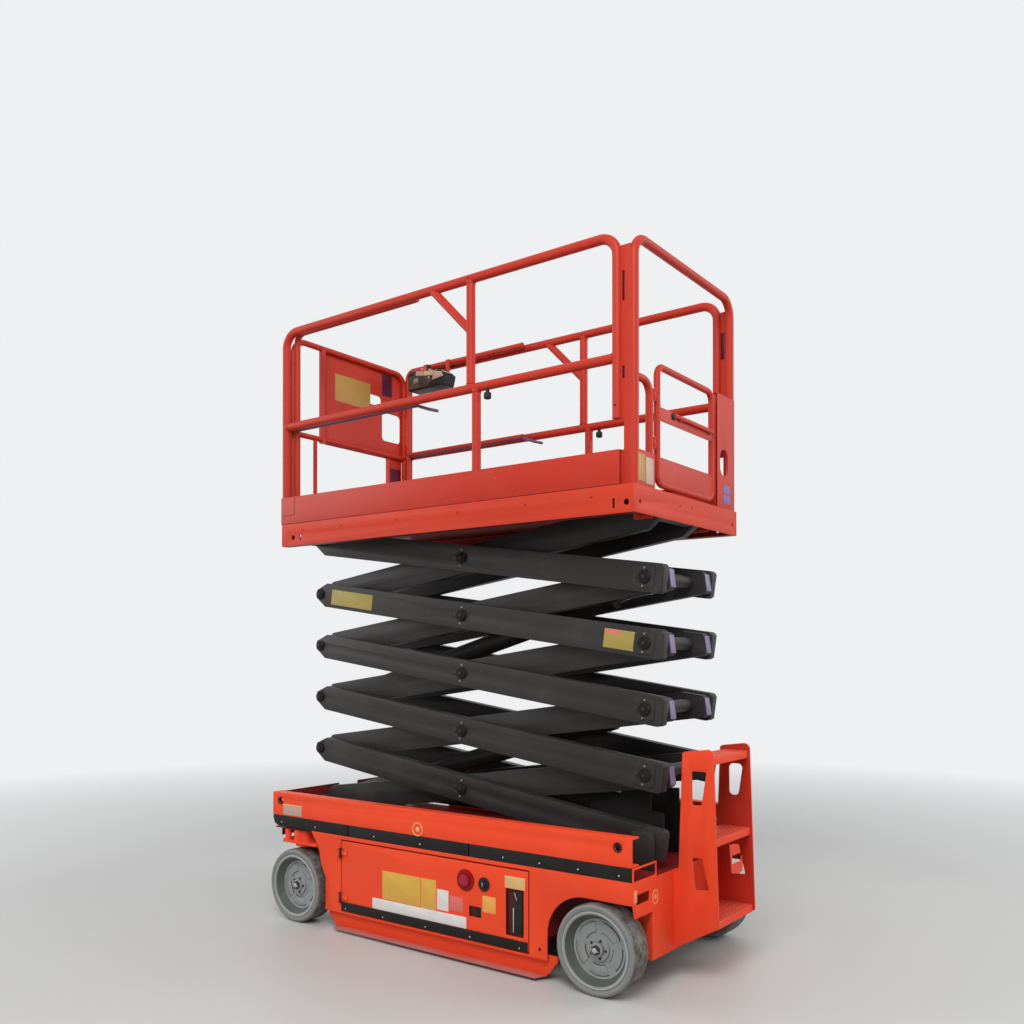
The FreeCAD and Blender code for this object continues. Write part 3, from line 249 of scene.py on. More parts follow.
finishes = {
    "red_paint": redPaint,
    "inner_red": innerRed,
    "dark_paint": armPaint,
    "rim_paint": rimPaint,
    "tyre_rubber": tyreRubber,
    "black_plastic": stripRubber,
    "battery_plastic": batteryCase,
    "rod_chrome": chrome,
    "steel": steel,
}
for nodeName, slotName in slots.items():
    nodes[nodeName].data.materials.clear()
    nodes[nodeName].data.materials.append(finishes[slotName])
print("finishes set")


# Camera, set before anything else is made

camera = bpy.data.objects.new("camera", bpy.data.cameras.new("camera"))
camera.data.lens = 33.607
camera.data.sensor_width = 36
camera.data.shift_y = 0.1335
camera.data.clip_end = 100
camera.location = (2.9854, -4.0264, 1.4475)
camera.rotation_euler = (math.radians(90.262), 0, math.radians(36.677))
bpy.context.scene.collection.objects.link(camera)
bpy.context.scene.camera = camera
bpy.context.scene.view_settings.view_transform = "Standard"


# Shapes that the pieces are made of

axes = {"x": Vector((1, 0, 0)), "y": Vector((0, 1, 0)), "z": Vector((0, 0, 1))}


def settle(bm, verts, tone, turn=None):
    faces = {face for vert in verts for face in vert.link_faces}
    for face in faces:
        face.material_index = tone
    if turn is not None:
        bmesh.ops.transform(bm, matrix=turn, verts=list(verts))


def soften(bm, edges, width, segments):
    if width <= 0:
        return []
    made = bmesh.ops.bevel(bm, geom=list(edges), offset=width, offset_type="OFFSET", segments=segments, profile=0.5,
                           affect="EDGES", clamp_overlap=True, material=-1)
    return made["verts"]


def block(bm, low, high, soft=0.0015, segments=2, tone=0, turn=None):
    low, high = Vector([min(a, b) for a, b in zip(low, high)]), Vector([max(a, b) for a, b in zip(low, high)])
    verts = bmesh.ops.create_cube(bm, size=1)["verts"]
    bmesh.ops.scale(bm, vec=high - low, verts=verts)
    bmesh.ops.translate(bm, vec=(low + high) / 2, verts=verts)
    edges = {edge for vert in verts for edge in vert.link_edges}
    verts = set(verts) | set(soften(bm, edges, soft, segments))
    settle(bm, {v for v in verts if v.is_valid}, tone, turn)


def rod(bm, start, end, radius, soft=0.0015, sides=24, tone=0, turn=None, endRadius=None):
    start, end = Vector(start), Vector(end)
    way = end - start
    place = Matrix.Translation((start + end) / 2) @ way.to_track_quat("Z", "Y").to_matrix().to_4x4()
    verts = bmesh.ops.create_cone(bm, cap_ends=True, cap_tris=False, segments=sides, radius1=radius,
                                  radius2=radius if endRadius is None else endRadius, depth=way.length,
                                  matrix=place)["verts"]
    rims = {edge for vert in verts for edge in vert.link_edges if any(len(face.verts) > 4 for face in edge.link_faces)}
    verts = set(verts) | set(soften(bm, rims, soft, 2))
    settle(bm, {v for v in verts if v.is_valid}, tone, turn)


# A flat plate square to one axis, from one corner to the other, with windows (u0, v0, u1, v1)
def sheetPlate(bm, axis, start, thick, low, high, windows=(), corner=0.0, windowCorner=0.0, soft=0.001, tone=0, turn=None):
    uCuts = sorted({low[0], high[0], *(w[0] for w in windows), *(w[2] for w in windows)})
    vCuts = sorted({low[1], high[1], *(w[1] for w in windows), *(w[3] for w in windows)})

    def at(u, v):
        return {"x": (start, u, v), "y": (u, start, v), "z": (u, v, start)}[axis]

    grid, faces = {}, []
    for u0, u1 in zip(uCuts, uCuts[1:]):
        for v0, v1 in zip(vCuts, vCuts[1:]):
            if any(w[0] < (u0 + u1) / 2 < w[2] and w[1] < (v0 + v1) / 2 < w[3] for w in windows):
                continue
            ring = []
            for key in ((u0, v0), (u1, v0), (u1, v1), (u0, v1)):
                if key not in grid:
                    grid[key] = bm.verts.new(at(*key))
                ring.append(grid[key])
            faces.append(bm.faces.new(ring))
    made = bmesh.ops.extrude_face_region(bm, geom=faces)["geom"]
    lifted = [g for g in made if isinstance(g, bmesh.types.BMVert)]
    bmesh.ops.translate(bm, vec=axes[axis] * thick, verts=lifted)
    verts = set(grid.values()) | set(lifted)

    def cornersOf(rects):
        return [(u, v) for r in rects for u in (r[0], r[2]) for v in (r[1], r[3])]

    index = {"x": (1, 2), "y": (0, 2), "z": (0, 1)}[axis]
    for radius, spots in ((corner, cornersOf([(*low, *high)])), (windowCorner, cornersOf(windows))):
        if radius <= 0:
            continue
        posts = []
        for edge in {e for v in verts if v.is_valid for e in v.link_edges}:
            a, b = edge.verts[0].co, edge.verts[1].co
            if abs((b - a).normalized().dot(axes[axis])) > 0.99:
                if any(abs(a[index[0]] - u) < 1e-5 and abs(a[index[1]] - v) < 1e-5 for u, v in spots):
                    posts.append(edge)
        verts |= set(bmesh.ops.bevel(bm, geom=posts, offset=radius, offset_type="OFFSET", segments=6, profile=0.5,
                                     affect="EDGES", clamp_overlap=True, material=-1)["verts"])
    verts = {v for v in verts if v.is_valid}
    if soft > 0:
        rims = [e for e in {e for v in verts for e in v.link_edges}
                if len(e.link_faces) == 2 and e.calc_face_angle(0) > 1.2
                and abs((e.verts[1].co - e.verts[0].co).normalized().dot(axes[axis])) < 0.5]
        verts |= set(soften(bm, rims, soft, 2))
    settle(bm, {v for v in verts if v.is_valid}, tone, turn)


# A polygon outline in one plane pushed out to a thickness
def prism(bm, axis, outline, start, thick, soft=0.002, segments=2, tone=0, turn=None):
    def at(u, v):
        return {"x": (start, u, v), "y": (u, start, v), "z": (u, v, start)}[axis]

    base = bm.faces.new([bm.verts.new(at(u, v)) for u, v in outline])
    made = bmesh.ops.extrude_face_region(bm, geom=[base])["geom"]
    lifted = [g for g in made if isinstance(g, bmesh.types.BMVert)]
    bmesh.ops.translate(bm, vec=axes[axis] * thick, verts=lifted)
    verts = set(base.verts) | set(lifted)
    edges = {e for v in verts for e in v.link_edges}
    verts |= set(soften(bm, edges, soft, segments))
    settle(bm, {v for v in verts if v.is_valid}, tone, turn)


# Corner points with each inner corner swung round to a bend of the given radius
def bendPath(points, radius, steps=7):
    points = [Vector(p) for p in points]
    path = [points[0]]
    for before, here, after in zip(points, points[1:], points[2:]):
        inWay, outWay = (before - here).normalized(), (after - here).normalized()
        half = inWay.angle(outWay) / 2
        reach = min(radius / math.tan(half), (before - here).length * 0.48, (after - here).length * 0.48)
        centre = here + (inWay + outWay).normalized() * reach / math.cos(half)
        startArm, endArm = here + inWay * reach - centre, here + outWay * reach - centre
        swing = startArm.rotation_difference(endArm)
        for i in range(steps + 1):
            part = swing.copy()
            part.angle = swing.angle * i / steps
            path.append(centre + part @ startArm)
    path.append(points[-1])
    return path


def pipe(bm, points, radius, closed=False, tone=0, turn=None, resolution=4):
    curve = bpy.data.curves.new("run", "CURVE")
    curve.dimensions = "3D"
    curve.bevel_depth = radius
    curve.bevel_resolution = resolution
    curve.use_fill_caps = not closed
    spline = curve.splines.new("POLY")
    spline.points.add(len(points) - 1)
    for slotPoint, point in zip(spline.points, points):
        slotPoint.co = (*point, 1)
    spline.use_cyclic_u = closed
    run = bpy.data.objects.new("run", curve)
    made = bpy.data.meshes.new_from_object(run)
    had = len(bm.verts)
    bm.from_mesh(made)
    bm.verts.ensure_lookup_table()
    verts = set(bm.verts[had:])
    bmesh.ops.remove_doubles(bm, verts=list(verts), dist=1e-6)
    bpy.data.objects.remove(run)
    bpy.data.curves.remove(curve)
    bpy.data.meshes.remove(made)
    settle(bm, {v for v in verts if v.is_valid}, tone, turn)


# Hexagon head on a washer, standing out along way from spot
def bolt(bm, spot, way, size=0.009, tone=0, turn=None):
    spot, way = Vector(spot), Vector(way).normalized()
    rod(bm, spot - way * 0.0004, spot + way * size * 0.22, size * 1.25, 0.0004, 20, tone, turn)
    rod(bm, spot + way * size * 0.2, spot + way * size * 0.9, size, 0.0006, 6, tone, turn)


def screw(bm, spot, way, size=0.006, tone=0, turn=None):
    spot, way = Vector(spot), Vector(way).normalized()
    rod(bm, spot - way * 0.0004, spot + way * size * 0.5, size, size * 0.3, 16, tone, turn, endRadius=size * 0.7)


def finishPiece(bm, name, body, mats, replaced=(), sharp=35):
    bmesh.ops.recalc_face_normals(bm, faces=bm.faces)
    data = bpy.data.meshes.new(name)
    bm.to_mesh(data)
    bm.free()
    for mat in mats if isinstance(mats, (list, tuple)) else (mats,):
        data.materials.append(mat)
    data.polygons.foreach_set("use_smooth", [True] * len(data.polygons))
    data.set_sharp_from_angle(angle=math.radians(sharp))
    piece = bpy.data.objects.new(name, data)
    bpy.context.scene.collection.objects.link(piece)
    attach(piece, body)
    if replaced:
        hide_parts(*replaced)
    return piece


# A copy of a node with its sharp edges rounded off, standing in for it
def softCopy(nodeName, width, segments=2, mat=None, name=None):
    bm = bmesh.new()
    bm.from_mesh(nodes[nodeName].data)
    bmesh.ops.remove_doubles(bm, verts=bm.verts, dist=1e-5)
    bmesh.ops.dissolve_limit(bm, angle_limit=math.radians(1.5), verts=bm.verts, edges=bm.edges)
    edges = [e for e in bm.edges if len(e.link_faces) == 2 and e.calc_face_angle(0) > math.radians(28)]
    bmesh.ops.bevel(bm, geom=edges, offset=width, offset_type="OFFSET", segments=segments, profile=0.5, affect="EDGES",
                    clamp_overlap=True, material=-1)
    return finishPiece(bm, name or nodeName + "_skin", bodyOf[nodeName], mat or finishes[slots[nodeName]],
                       (nodeName,))


# Chassis: beams, skins and plates with rounded edges

chassisEdges = {
    "side_beams": 0.004,
    "side_panels": 0.002,
    "rear_end_plate": 0.002,
    "front_end_plate": 0.002,
    "entry_ladder": 0.002,
    "chassis_tub": 0.0015,
    "front_axle": 0.004,
    "steering_knuckle_near": 0.003,
    "steering_knuckle_far": 0.003,
    "platform_frame": 0.0025,
    "base_pivots": 0.003,
    "extension_deck": 0.002,
}
ownPaint = {"platform_frame": platformRed, "extension_deck": platformRed, "entry_ladder": ladderRed}
for nodeName, width in chassisEdges.items():
    softCopy(nodeName, width, mat=ownPaint.get(nodeName))
print("chassis edges rounded")


# Rubbing strips under the beams

strip = {
    "outer": 0.565, "low": 0.497, "high": 0.557, "thick": 0.0115,
    "front": -1.243, "rear": 1.024, "joints": (-0.649, 0.155), "drop": 0.045,
    "screws": (-1.17, -0.90, -0.463, -0.15, 0.356, 0.558, 0.76, 0.962),
}
stripBm = bmesh.new()
for sign in (-1, 1):
    face = sign * strip["outer"]
    spans = [strip["front"], *strip["joints"], strip["rear"]]
    for index, (a, b) in enumerate(zip(spans, spans[1:])):
        outline = [(a + 0.003, strip["high"]), (b - 0.003, strip["high"]), (b - 0.003, strip["low"]),
                   (a + 0.003, strip["low"])]
        if index == 0:
            drop = strip["drop"]
            outline[3:] = [(a + drop, strip["low"]), (a + drop * 0.3, strip["low"] + drop * 0.3),
                           (a + 0.001, strip["low"] + drop)]
        prism(stripBm, "y", outline, face, -sign * strip["thick"], 0.0022, 3)
    for x in strip["screws"]:
        screw(stripBm, (x, face, (strip["low"] + strip["high"]) / 2 - 0.008), (0, sign, 0), 0.0045, 1)
finishPiece(stripBm, "rubbing_strips", "chassis", [stripRubber, zinc], ("black_strips",))


# Marks and plates on the beams and panels

beamMarks = {
    "face": 0.565, "ring": (-0.166, 0.589, 0.031), "plate": (-1.157, 0.564, -1.007, 0.611),
    "holes": ((-1.179, 0.637), (0.956, 0.637)),
}
marksBm = bmesh.new()
for sign in (-1, 1):
    face = sign * (beamMarks["face"] + 0.0002)
    x, z, radius = beamMarks["ring"]
    ringPath = [(x + radius * math.cos(a), face, z + radius * math.sin(a)) for a in [i * math.tau / 32 for i in range(32)]]
    pipe(marksBm, ringPath, 0.0028, closed=True, tone=1, resolution=2)
    rod(marksBm, (x, face - sign * 0.0004, z), (x, face + sign * 0.0008, z), 0.012, 0.0003, 24, tone=1)
    x0, z0, x1, z1 = beamMarks["plate"]
    sheetPlate(marksBm, "y", face, sign * 0.0006, (x0, z0), (x1, z1), corner=0.004, soft=0.0002, tone=0)
    block(marksBm, (x0, face, z1 + 0.0015), (x1, face + sign * 0.0007, z1 + 0.010), 0.0002, 1, tone=1)
    # dark rings round the holes: painted shade, widening the holes' dark look
    for x, z in beamMarks["holes"]:
        rim = [(x + 0.0185 * math.cos(a), sign * (beamMarks["face"] + 0.0004), z + 0.0185 * math.sin(a))
               for a in [i * math.tau / 28 for i in range(28)]]
        pipe(marksBm, rim, 0.0038, closed=True, tone=2, resolution=2)
finishPiece(marksBm, "beam_marks", "chassis", [fadedFilm, paleYellow, hingeAndShadePaint])

# Rings and labels on the rear plate
rearMarks = {"x": 1.030, "rings": (-0.373, 0.404, 0.029), "label": (-0.560, 0.412, -0.532, 0.464)}
rearBm = bmesh.new()
for sign in (1, -1):
    y, z, radius = rearMarks["rings"]
    y *= sign
    ringPath = [(rearMarks["x"] - 0.0030, y + radius * 0.8 * math.cos(a), z + radius * math.sin(a))
                for a in [i * math.tau / 32 for i in range(32)]]
    pipe(rearBm, ringPath, 0.0046, closed=True, tone=1, resolution=2)
    rod(rearBm, (rearMarks["x"] - 0.0004, y, z), (rearMarks["x"] + 0.0008, y, z), 0.011, 0.0003, 24, tone=1)
    y0, z0, y1, z1 = rearMarks["label"]
    y0, y1 = sorted((y0 * sign, y1 * sign))
    sheetPlate(rearBm, "x", rearMarks["x"] + 0.0002, 0.0006, (y0, z0), (y1, z1), corner=0.003, soft=0.0002, tone=2)
finishPiece(rearBm, "rear_marks", "chassis", [whiteFilm, orangeFilm, paleYellow])
print("strips and marks made")


# Compartment doors

door = {
    "front": -0.697, "rear": 0.497, "low": 0.112, "high": 0.472, "face": 0.565, "lip": 0.018,
    "strip": (0.113, 0.157), "stripScrews": (-0.665, -0.396, -0.111, 0.166, 0.451),
    "recess": (0.372, 0.172, 0.472, 0.383), "recessDepth": 0.030,
    "smallRecess": (0.157, 0.222, 0.229, 0.270),
}
for side, sign in (("near", -1), ("far", 1)):
    bm = bmesh.new()
    face = sign * door["face"]
    windows = [door["recess"]] + ([door["smallRecess"]] if side == "near" else [])
    sheetPlate(bm, "y", face - sign * 0.003, sign * 0.003, (door["front"], door["low"]), (door["rear"], door["high"]),
               windows, corner=0.006, windowCorner=0.004, soft=0.0012)
    lipLow, lipHigh = door["low"] + 0.001, door["high"] - 0.001
    inner = face - sign * door["lip"]
    for x0, z0, x1, z1 in ((door["front"] + 0.001, lipLow, door["front"] + 0.022, lipHigh), (door["rear"] - 0.022, lipLow, door["rear"] - 0.001, lipHigh),
                           (door["front"] + 0.02, lipLow, door["rear"] - 0.02, lipLow + 0.022), (door["front"] + 0.02, lipHigh - 0.022, door["rear"] - 0.02, lipHigh)):
        block(bm, (x0, inner, z0), (x1, face - sign * 0.0025, z1), 0.001, 1)
    # the recesses' backs and walls are in the dark hinge paint: painted shade inside the recesses
    for x0, z0, x1, z1 in windows:
        depth = door["recessDepth"] if x0 > 0.3 else 0.014
        back = face - sign * min(depth, door["lip"] - 0.001)
        block(bm, (x0 - 0.003, back, z0 - 0.003), (x1 + 0.003, back + sign * 0.002, z1 + 0.003), 0.0005, 1, tone=5)
        if x0 < 0.3:
            block(bm, ((x0 + x1) / 2, back + sign * 0.0015, z0 + 0.004), (x1 - 0.002, back + sign * 0.006, z1 - 0.004), 0.001, 1, tone=3)
        for a, b, c, d in ((x0 - 0.003, z0, x0, z1), (x1, z0, x1 + 0.003, z1), (x0 - 0.003, z0 - 0.003, x1 + 0.003, z0), (x0 - 0.003, z1, x1 + 0.003, z1 + 0.003)):
            block(bm, (a, back + sign * 0.001, b), (c, face - sign * 0.0026, d), 0.0004, 1, tone=5)
    # latch: a bent handle standing in the tall recess
    x0, z0, x1, z1 = door["recess"]
    midX = (x0 + x1) / 2 - 0.006
    block(bm, (midX - 0.002, face - sign * 0.016, z0 + 0.014), (x1 - 0.010, face - sign * 0.006, z1 - 0.004), 0.003, 2, tone=3)
    block(bm, (midX - 0.006, face - sign * 0.008, z0 + 0.017), (midX, face - sign * 0.003, z1 - 0.085), 0.001, 2, tone=4)
    pipe(bm, [(midX + 0.001, face - sign * 0.0055, z1 - 0.016), (midX + 0.014, face - sign * 0.0055, z1 - 0.048)], 0.0022, tone=4)
    # rubbing strip and its screws
    block(bm, (door["front"] + 0.002, face - sign * 0.001, door["strip"][0]), (door["rear"] - 0.002, face + sign * 0.005, door["strip"][1]), 0.0018, 3, tone=1)
    for x in door["stripScrews"]:
        screw(bm, (x, face + sign * 0.005, door["strip"][0] + 0.012), (0, sign, 0), 0.004, 4)
    # hinge knuckles
    for z in (0.167, 0.397):
        rod(bm, (-0.700, sign * 0.5725, z), (-0.700, sign * 0.5725, z + 0.024), 0.0068, 0.001, 20, tone=5)
        block(bm, (-0.700, face - sign * 0.0005, z), (-0.655, face + sign * 0.0038, z + 0.024), 0.001, 2)
        for x in (-0.684, -0.667):
            screw(bm, (x, face + sign * 0.0036, z + 0.012), (0, sign, 0), 0.0035, 4)
    finishPiece(bm, f"door_skin_{side}", f"compartment_door_{side}", [redPaint, stripRubber, innerRed, blackPlastic, zinc, hingeAndShadePaint],
                (f"compartment_door_{side}",))
print("doors made")

# Plates, switch and socket on the doors
doorPlates = {
    # colour, x0, z0, x1, z1
    "near": (("yellow", -0.403, 0.215, -0.147, 0.357), ("yellow", -0.143, 0.213, -0.046, 0.357),
             ("white", -0.472, 0.158, 0.141, 0.212), ("white", -0.040, 0.221, 0.032, 0.319), ("pink", 0.040, 0.231, 0.120, 0.299),
             ("amber", 0.238, 0.254, 0.315, 0.329), ("pale", 0.367, 0.386, 0.480, 0.440)),
    "far": (("yellow", -0.300, 0.247, -0.120, 0.352), ("pale", 0.367, 0.389, 0.480, 0.440)),
    "switch": (0.137, 0.386), "socket": (0.248, 0.382),
}
films = {"yellow": 0, "white": 1, "pink": 2, "pale": 3, "amber": 8}
for side, sign in (("near", -1), ("far", 1)):
    bm = bmesh.new()
    face = sign * (door["face"] + 0.0001)
    for colour, x0, z0, x1, z1 in doorPlates[side]:
        sheetPlate(bm, "y", face, sign * 0.0007, (x0, z0), (x1, z1), corner=0.003, soft=0.0002, tone=films[colour])
    if side == "near":
        x, z = doorPlates["switch"]
        rod(bm, (x, face, z), (x, face + sign * 0.004, z), 0.051, 0.001, 44, tone=7)
        rod(bm, (x, face + sign * 0.003, z), (x, face + sign * 0.008, z), 0.018, 0.001, 32, tone=5)
        rod(bm, (x, face + sign * 0.007, z), (x, face + sign * 0.017, z), 0.028, 0.005, 36, tone=4)
        x, z = doorPlates["socket"]
        rod(bm, (x, face, z), (x, face + sign * 0.006, z), 0.032, 0.0015, 36, tone=5)
        rod(bm, (x, face + sign * 0.005, z), (x, face + sign * 0.011, z), 0.017, 0.002, 28, tone=5)
        block(bm, (x - 0.002, face + sign * 0.010, z - 0.009), (x + 0.002, face + sign * 0.016, z + 0.009), 0.001, 2, tone=6)
    finishPiece(bm, f"door_fittings_{side}", f"compartment_door_{side}",
                [yellowFilm, whiteFilm, pinkFilm, paleYellow, redButton, blackPlastic, zinc, plateRed, amberFilm])

# Fixed hinge halves, with screws in front of them
hingeBm = bmesh.new()
for sign in (-1, 1):
    for z in (0.167, 0.397):
        for low in (z - 0.015, z + 0.0245):
            rod(hingeBm, (-0.700, sign * 0.5725, low), (-0.700, sign * 0.5725, low + 0.0145), 0.0068, 0.001, 20)
            block(hingeBm, (-0.730, sign * 0.5651, low), (-0.700, sign * 0.569, low + 0.0145), 0.001, 2, tone=1)
        rod(hingeBm, (-0.700, sign * 0.5725, z - 0.016), (-0.700, sign * 0.5725, z + 0.040), 0.0038, 0.0008, 16)
        for low in (z - 0.008, z + 0.032):
            screw(hingeBm, (-0.720, sign * 0.5688, low), (0, sign, 0), 0.0032)
finishPiece(hingeBm, "hinge_leaves", "chassis", [hingeAndShadePaint, redPaint], ("door_hinges",))

# Panel bolts and folded lower flange
panelBm = bmesh.new()
for sign in (-1, 1):
    for x, z in ((0.56, 0.14),):
        bolt(panelBm, (x, sign * 0.565, z), (0, sign, 0), 0.0055, 1)
    block(panelBm, (-0.812, sign * 0.545, 0.0955), (0.598, sign * 0.5645, 0.0985), 0.001, 1)
finishPiece(panelBm, "panel_fasteners", "chassis", [redPaint, blackPlastic])
print("door fittings made")


# Pothole guards: long plates with sloped ends and a foot turned out

guard = {
    "front": -0.814, "rear": 0.640, "low": 0.015, "high": 0.115, "outer": 0.542, "thick": 0.009, "foot": 0.590,
}
for side, sign in (("near", -1), ("far", 1)):
    bm = bmesh.new()
    g = guard
    outline = [(g["front"], g["low"] + 0.060), (g["front"] + 0.054, g["low"]), (g["rear"] - 0.064, g["low"]),
               (g["rear"], g["low"] + 0.075), (g["rear"], g["high"]), (g["front"], g["high"])]
    prism(bm, "y", outline, sign * g["outer"], -sign * g["thick"], 0.0025, 3)
    y0, y1 = sign * (g["outer"] - 0.004), sign * g["foot"]
    prism(bm, "z", [(g["front"] + 0.056, y0), (g["front"] + 0.080, y1), (g["rear"] - 0.090, y1), (g["rear"] - 0.066, y0)],
          g["low"], 0.005, 0.0018, 2, tone=1)
    finishPiece(bm, f"guard_plate_{side}", f"pothole_guard_{side}", [redPaint, wornRed], (f"pothole_guard_{side}",))
print("guards made")


# Wheels

wheel = {
    "radius": 0.195, "width": 0.127, "rim": 0.165, "dish": 0.044, "hub": 0.032, "face": 0.595,
    "stub": {"front": 0.026, "rear": 0.020},
    "centres": {"front_near": (-1.034, -1), "front_far": (-1.034, 1), "rear_near": (0.859, -1), "rear_far": (0.859, 1)},
}


# A closed profile of (radius, distance in from the outer face), spun about the wheel's own axle
def spunRing(bm, profile, sign, face, steps, tone=0):
    ring = [bm.verts.new((0, sign * (face - depth), radius)) for radius, depth in profile]
    edges = [bm.edges.new((ring[i], ring[(i + 1) % len(ring)])) for i in range(len(ring))]
    before = set(bm.faces)
    bmesh.ops.spin(bm, geom=ring + edges, cent=(0, 0, 0), axis=(0, 1, 0), angle=math.tau, steps=steps, use_merge=True,
                   use_duplicate=False)
    for new in set(bm.faces) - before:
        new.material_index = tone
    return ring


for wheelName, (x, sign) in wheel["centres"].items():
    r, w, rimR, face = wheel["radius"], wheel["width"], wheel["rim"], wheel["face"]
    bm = bmesh.new()
    profile = [(rimR, 0.005), (rimR + 0.004, 0.0015), (r - 0.013, 0.0), (r - 0.004, 0.005), (r - 0.0005, 0.014), (r, 0.028),
               (r, w - 0.028), (r - 0.0005, w - 0.014), (r - 0.004, w - 0.005), (r - 0.013, w), (rimR + 0.004, w - 0.0015),
               (rimR, w - 0.005)]
    spunRing(bm, profile, sign, face, 56)
    bmesh.ops.translate(bm, vec=(x, 0, r), verts=bm.verts)
    finishPiece(bm, f"tyre_tread_{wheelName}", f"wheel_{wheelName}", tyreRubber, (f"tyre_{wheelName}",))

    bm = bmesh.new()
    d = wheel["dish"]
    h = wheel["hub"]
    profile = [(rimR - 0.0005, 0.004), (rimR - 0.002, 0.0024), (rimR - 0.012, 0.0026), (rimR - 0.015, 0.0045),
               (rimR - 0.017, 0.009), (rimR - 0.033, d - 0.006), (rimR - 0.038, d - 0.001), (rimR - 0.044, d), (0.060, d),
               (0.0535, d - 0.001), (0.052, d - 0.003), (0.052, h + 0.002), (0.050, h), (0.030, h), (0.028, h + 0.003),
               (0.0262, h + 0.004), (0.0252, h + 0.006), (0.0252, w - 0.006), (0.045, w - 0.006), (0.060, w - 0.012),
               (rimR - 0.022, w - 0.012), (rimR - 0.014, w - 0.007), (rimR - 0.009, w - 0.0045), (rimR - 0.0005, w - 0.0045)]
    spunRing(bm, profile, sign, face, 72)
    # a pale ring at the foot of the rim's wall: painted highlight
    foot = [((rimR - 0.040) * math.cos(a), sign * (face - d + 0.0006), (rimR - 0.040) * math.sin(a))
            for a in [k * math.tau / 72 for k in range(72)]]
    pipe(bm, foot, 0.0016, closed=True, tone=2, resolution=2)
    # raised pads between the hub and the rim's wall
    for i in range(5):
        sector = [bm.verts.new((0, sign * (face - depth), radius)) for radius, depth in
                  ((0.068, d + 0.002), (0.068, d - 0.0012), (0.071, d - 0.0028), (0.113, d - 0.0028), (0.116, d - 0.0012), (0.116, d + 0.002))]
        edges = [bm.edges.new((sector[k], sector[(k + 1) % 6])) for k in range(6)]
        cap = bm.faces.new(sector)
        turned = bmesh.ops.spin(bm, geom=[cap], cent=(0, 0, 0), axis=(0, 1, 0), angle=math.radians(52), steps=10,
                                use_merge=False, use_duplicate=False)
        grown = {v for g in turned["geom_last"] if isinstance(g, bmesh.types.BMFace) for v in g.verts}
        todo, pad = list(grown), set(grown)
        while todo:
            v = todo.pop()
            for e in v.link_edges:
                other = e.other_vert(v)
                if other not in pad:
                    pad.add(other)
                    todo.append(other)
        bmesh.ops.rotate(bm, cent=(0, 0, 0), matrix=Matrix.Rotation(math.radians(72 * i + 10), 3, "Y"), verts=list(pad))
    # the rim's wall in a darker grey, as painted shade, and dark edges round the pads, as painted shade along their
    # steps
    for part in bm.faces:
        mid = part.calc_center_median()
        away, depth = math.hypot(mid.x, mid.z), face - abs(mid.y)
        if rimR - 0.036 < away < rimR - 0.015 and depth < d - 0.002:
            part.material_index = 3
        if d - 0.0026 < depth < d + 0.001 and (0.0665 < away < 0.0706 or 0.1135 < away < 0.1175):
            part.material_index = 4
    lip = [((rimR - 0.006) * math.cos(a), sign * (face - 0.0030), (rimR - 0.006) * math.sin(a))
           for a in [k * math.tau / 72 for k in range(72)]]
    pipe(bm, lip, 0.0028, closed=True, tone=2, resolution=2)
    # hub bolts
    for i in range(5):
        a = math.radians(72 * i + 20)
        spot = (0.039 * math.sin(a), sign * (face - h - 0.0005), 0.039 * math.cos(a))
        rod(bm, spot, (spot[0], sign * (face - h + 0.0055), spot[2]), 0.0058, 0.0008, 6, tone=4)
    bmesh.ops.translate(bm, vec=(x, 0, r), verts=bm.verts)
    finishPiece(bm, f"rim_dish_{wheelName}", f"wheel_{wheelName}", [rimPaint, zinc, lipAndHighlightPaint, wallShadePaint, armPaint], (f"rim_{wheelName}",))

    # cap, nut and split pin on the axle's end
    bm = bmesh.new()
    seat = face - h + 0.0006
    out = face - wheel["stub"][wheelName.split("_")[0]]
    rod(bm, (0, sign * seat, 0), (0, sign * (out + 0.003), 0), 0.0300, 0.0015, 40)
    rod(bm, (0, sign * (out + 0.002), 0), (0, sign * (out + 0.011), 0), 0.0225, 0.0015, 6, tone=2)
    rod(bm, (0, sign * (out + 0.010), 0), (0, sign * (out + 0.0175), 0), 0.012, 0.0015, 20, tone=1)
    pipe(bm, [(-0.017, sign * (out + 0.0135), 0.004), (0.017, sign * (out + 0.0135), -0.004)], 0.0016, tone=1)
    bmesh.ops.translate(bm, vec=(x, 0, r), verts=bm.verts)
    holder = "steering_knuckle_" + wheelName.split("_")[1] if "front" in wheelName else "rear_drives"
    finishPiece(bm, f"hub_nut_{wheelName}", bodyOf[holder], [rimPaint, zinc, armPaint])
print("wheels made")

# Bolts through the steered axle's flanges
yoke = {"x": -1.034, "y": 0.5, "high": 0.426, "flangeBolts": ((0.060, -0.048), (0.125, -0.048), (0.085, 0.050), (-0.135, 0.048))}
yokeBm = bmesh.new()
for sign in (-1, 1):
    for dx, dy in yoke["flangeBolts"]:
        bolt(yokeBm, (yoke["x"] + dx, sign * (yoke["y"] - dy), yoke["high"]), (0, 0, 1), 0.0075, 0)
finishPiece(yokeBm, "yoke_bolts", "chassis", [redPaint])


# Scissor stack

stack = {
    "pivotX": 0.924, "pivotZ": 0.610, "rise": 0.294, "length": 2.128, "depth": 0.134, "width": 0.054, "tail": 0.088, "slope": 0.032,
    "outer": 0.272, "inner": 0.210, "edge": 0.0045,
}
restAngle = math.asin(stack["rise"] / stack["length"])
half = stack["length"] / 2
middleX = stack["pivotX"] - half * math.cos(restAngle)


def armTurn(stage, outerArm):
    z = stack["pivotZ"] + stack["rise"] * (stage - 0.5)
    return Matrix.Translation((middleX, 0, z)) @ Matrix.Rotation(restAngle if outerArm else -restAngle, 4, "Y")


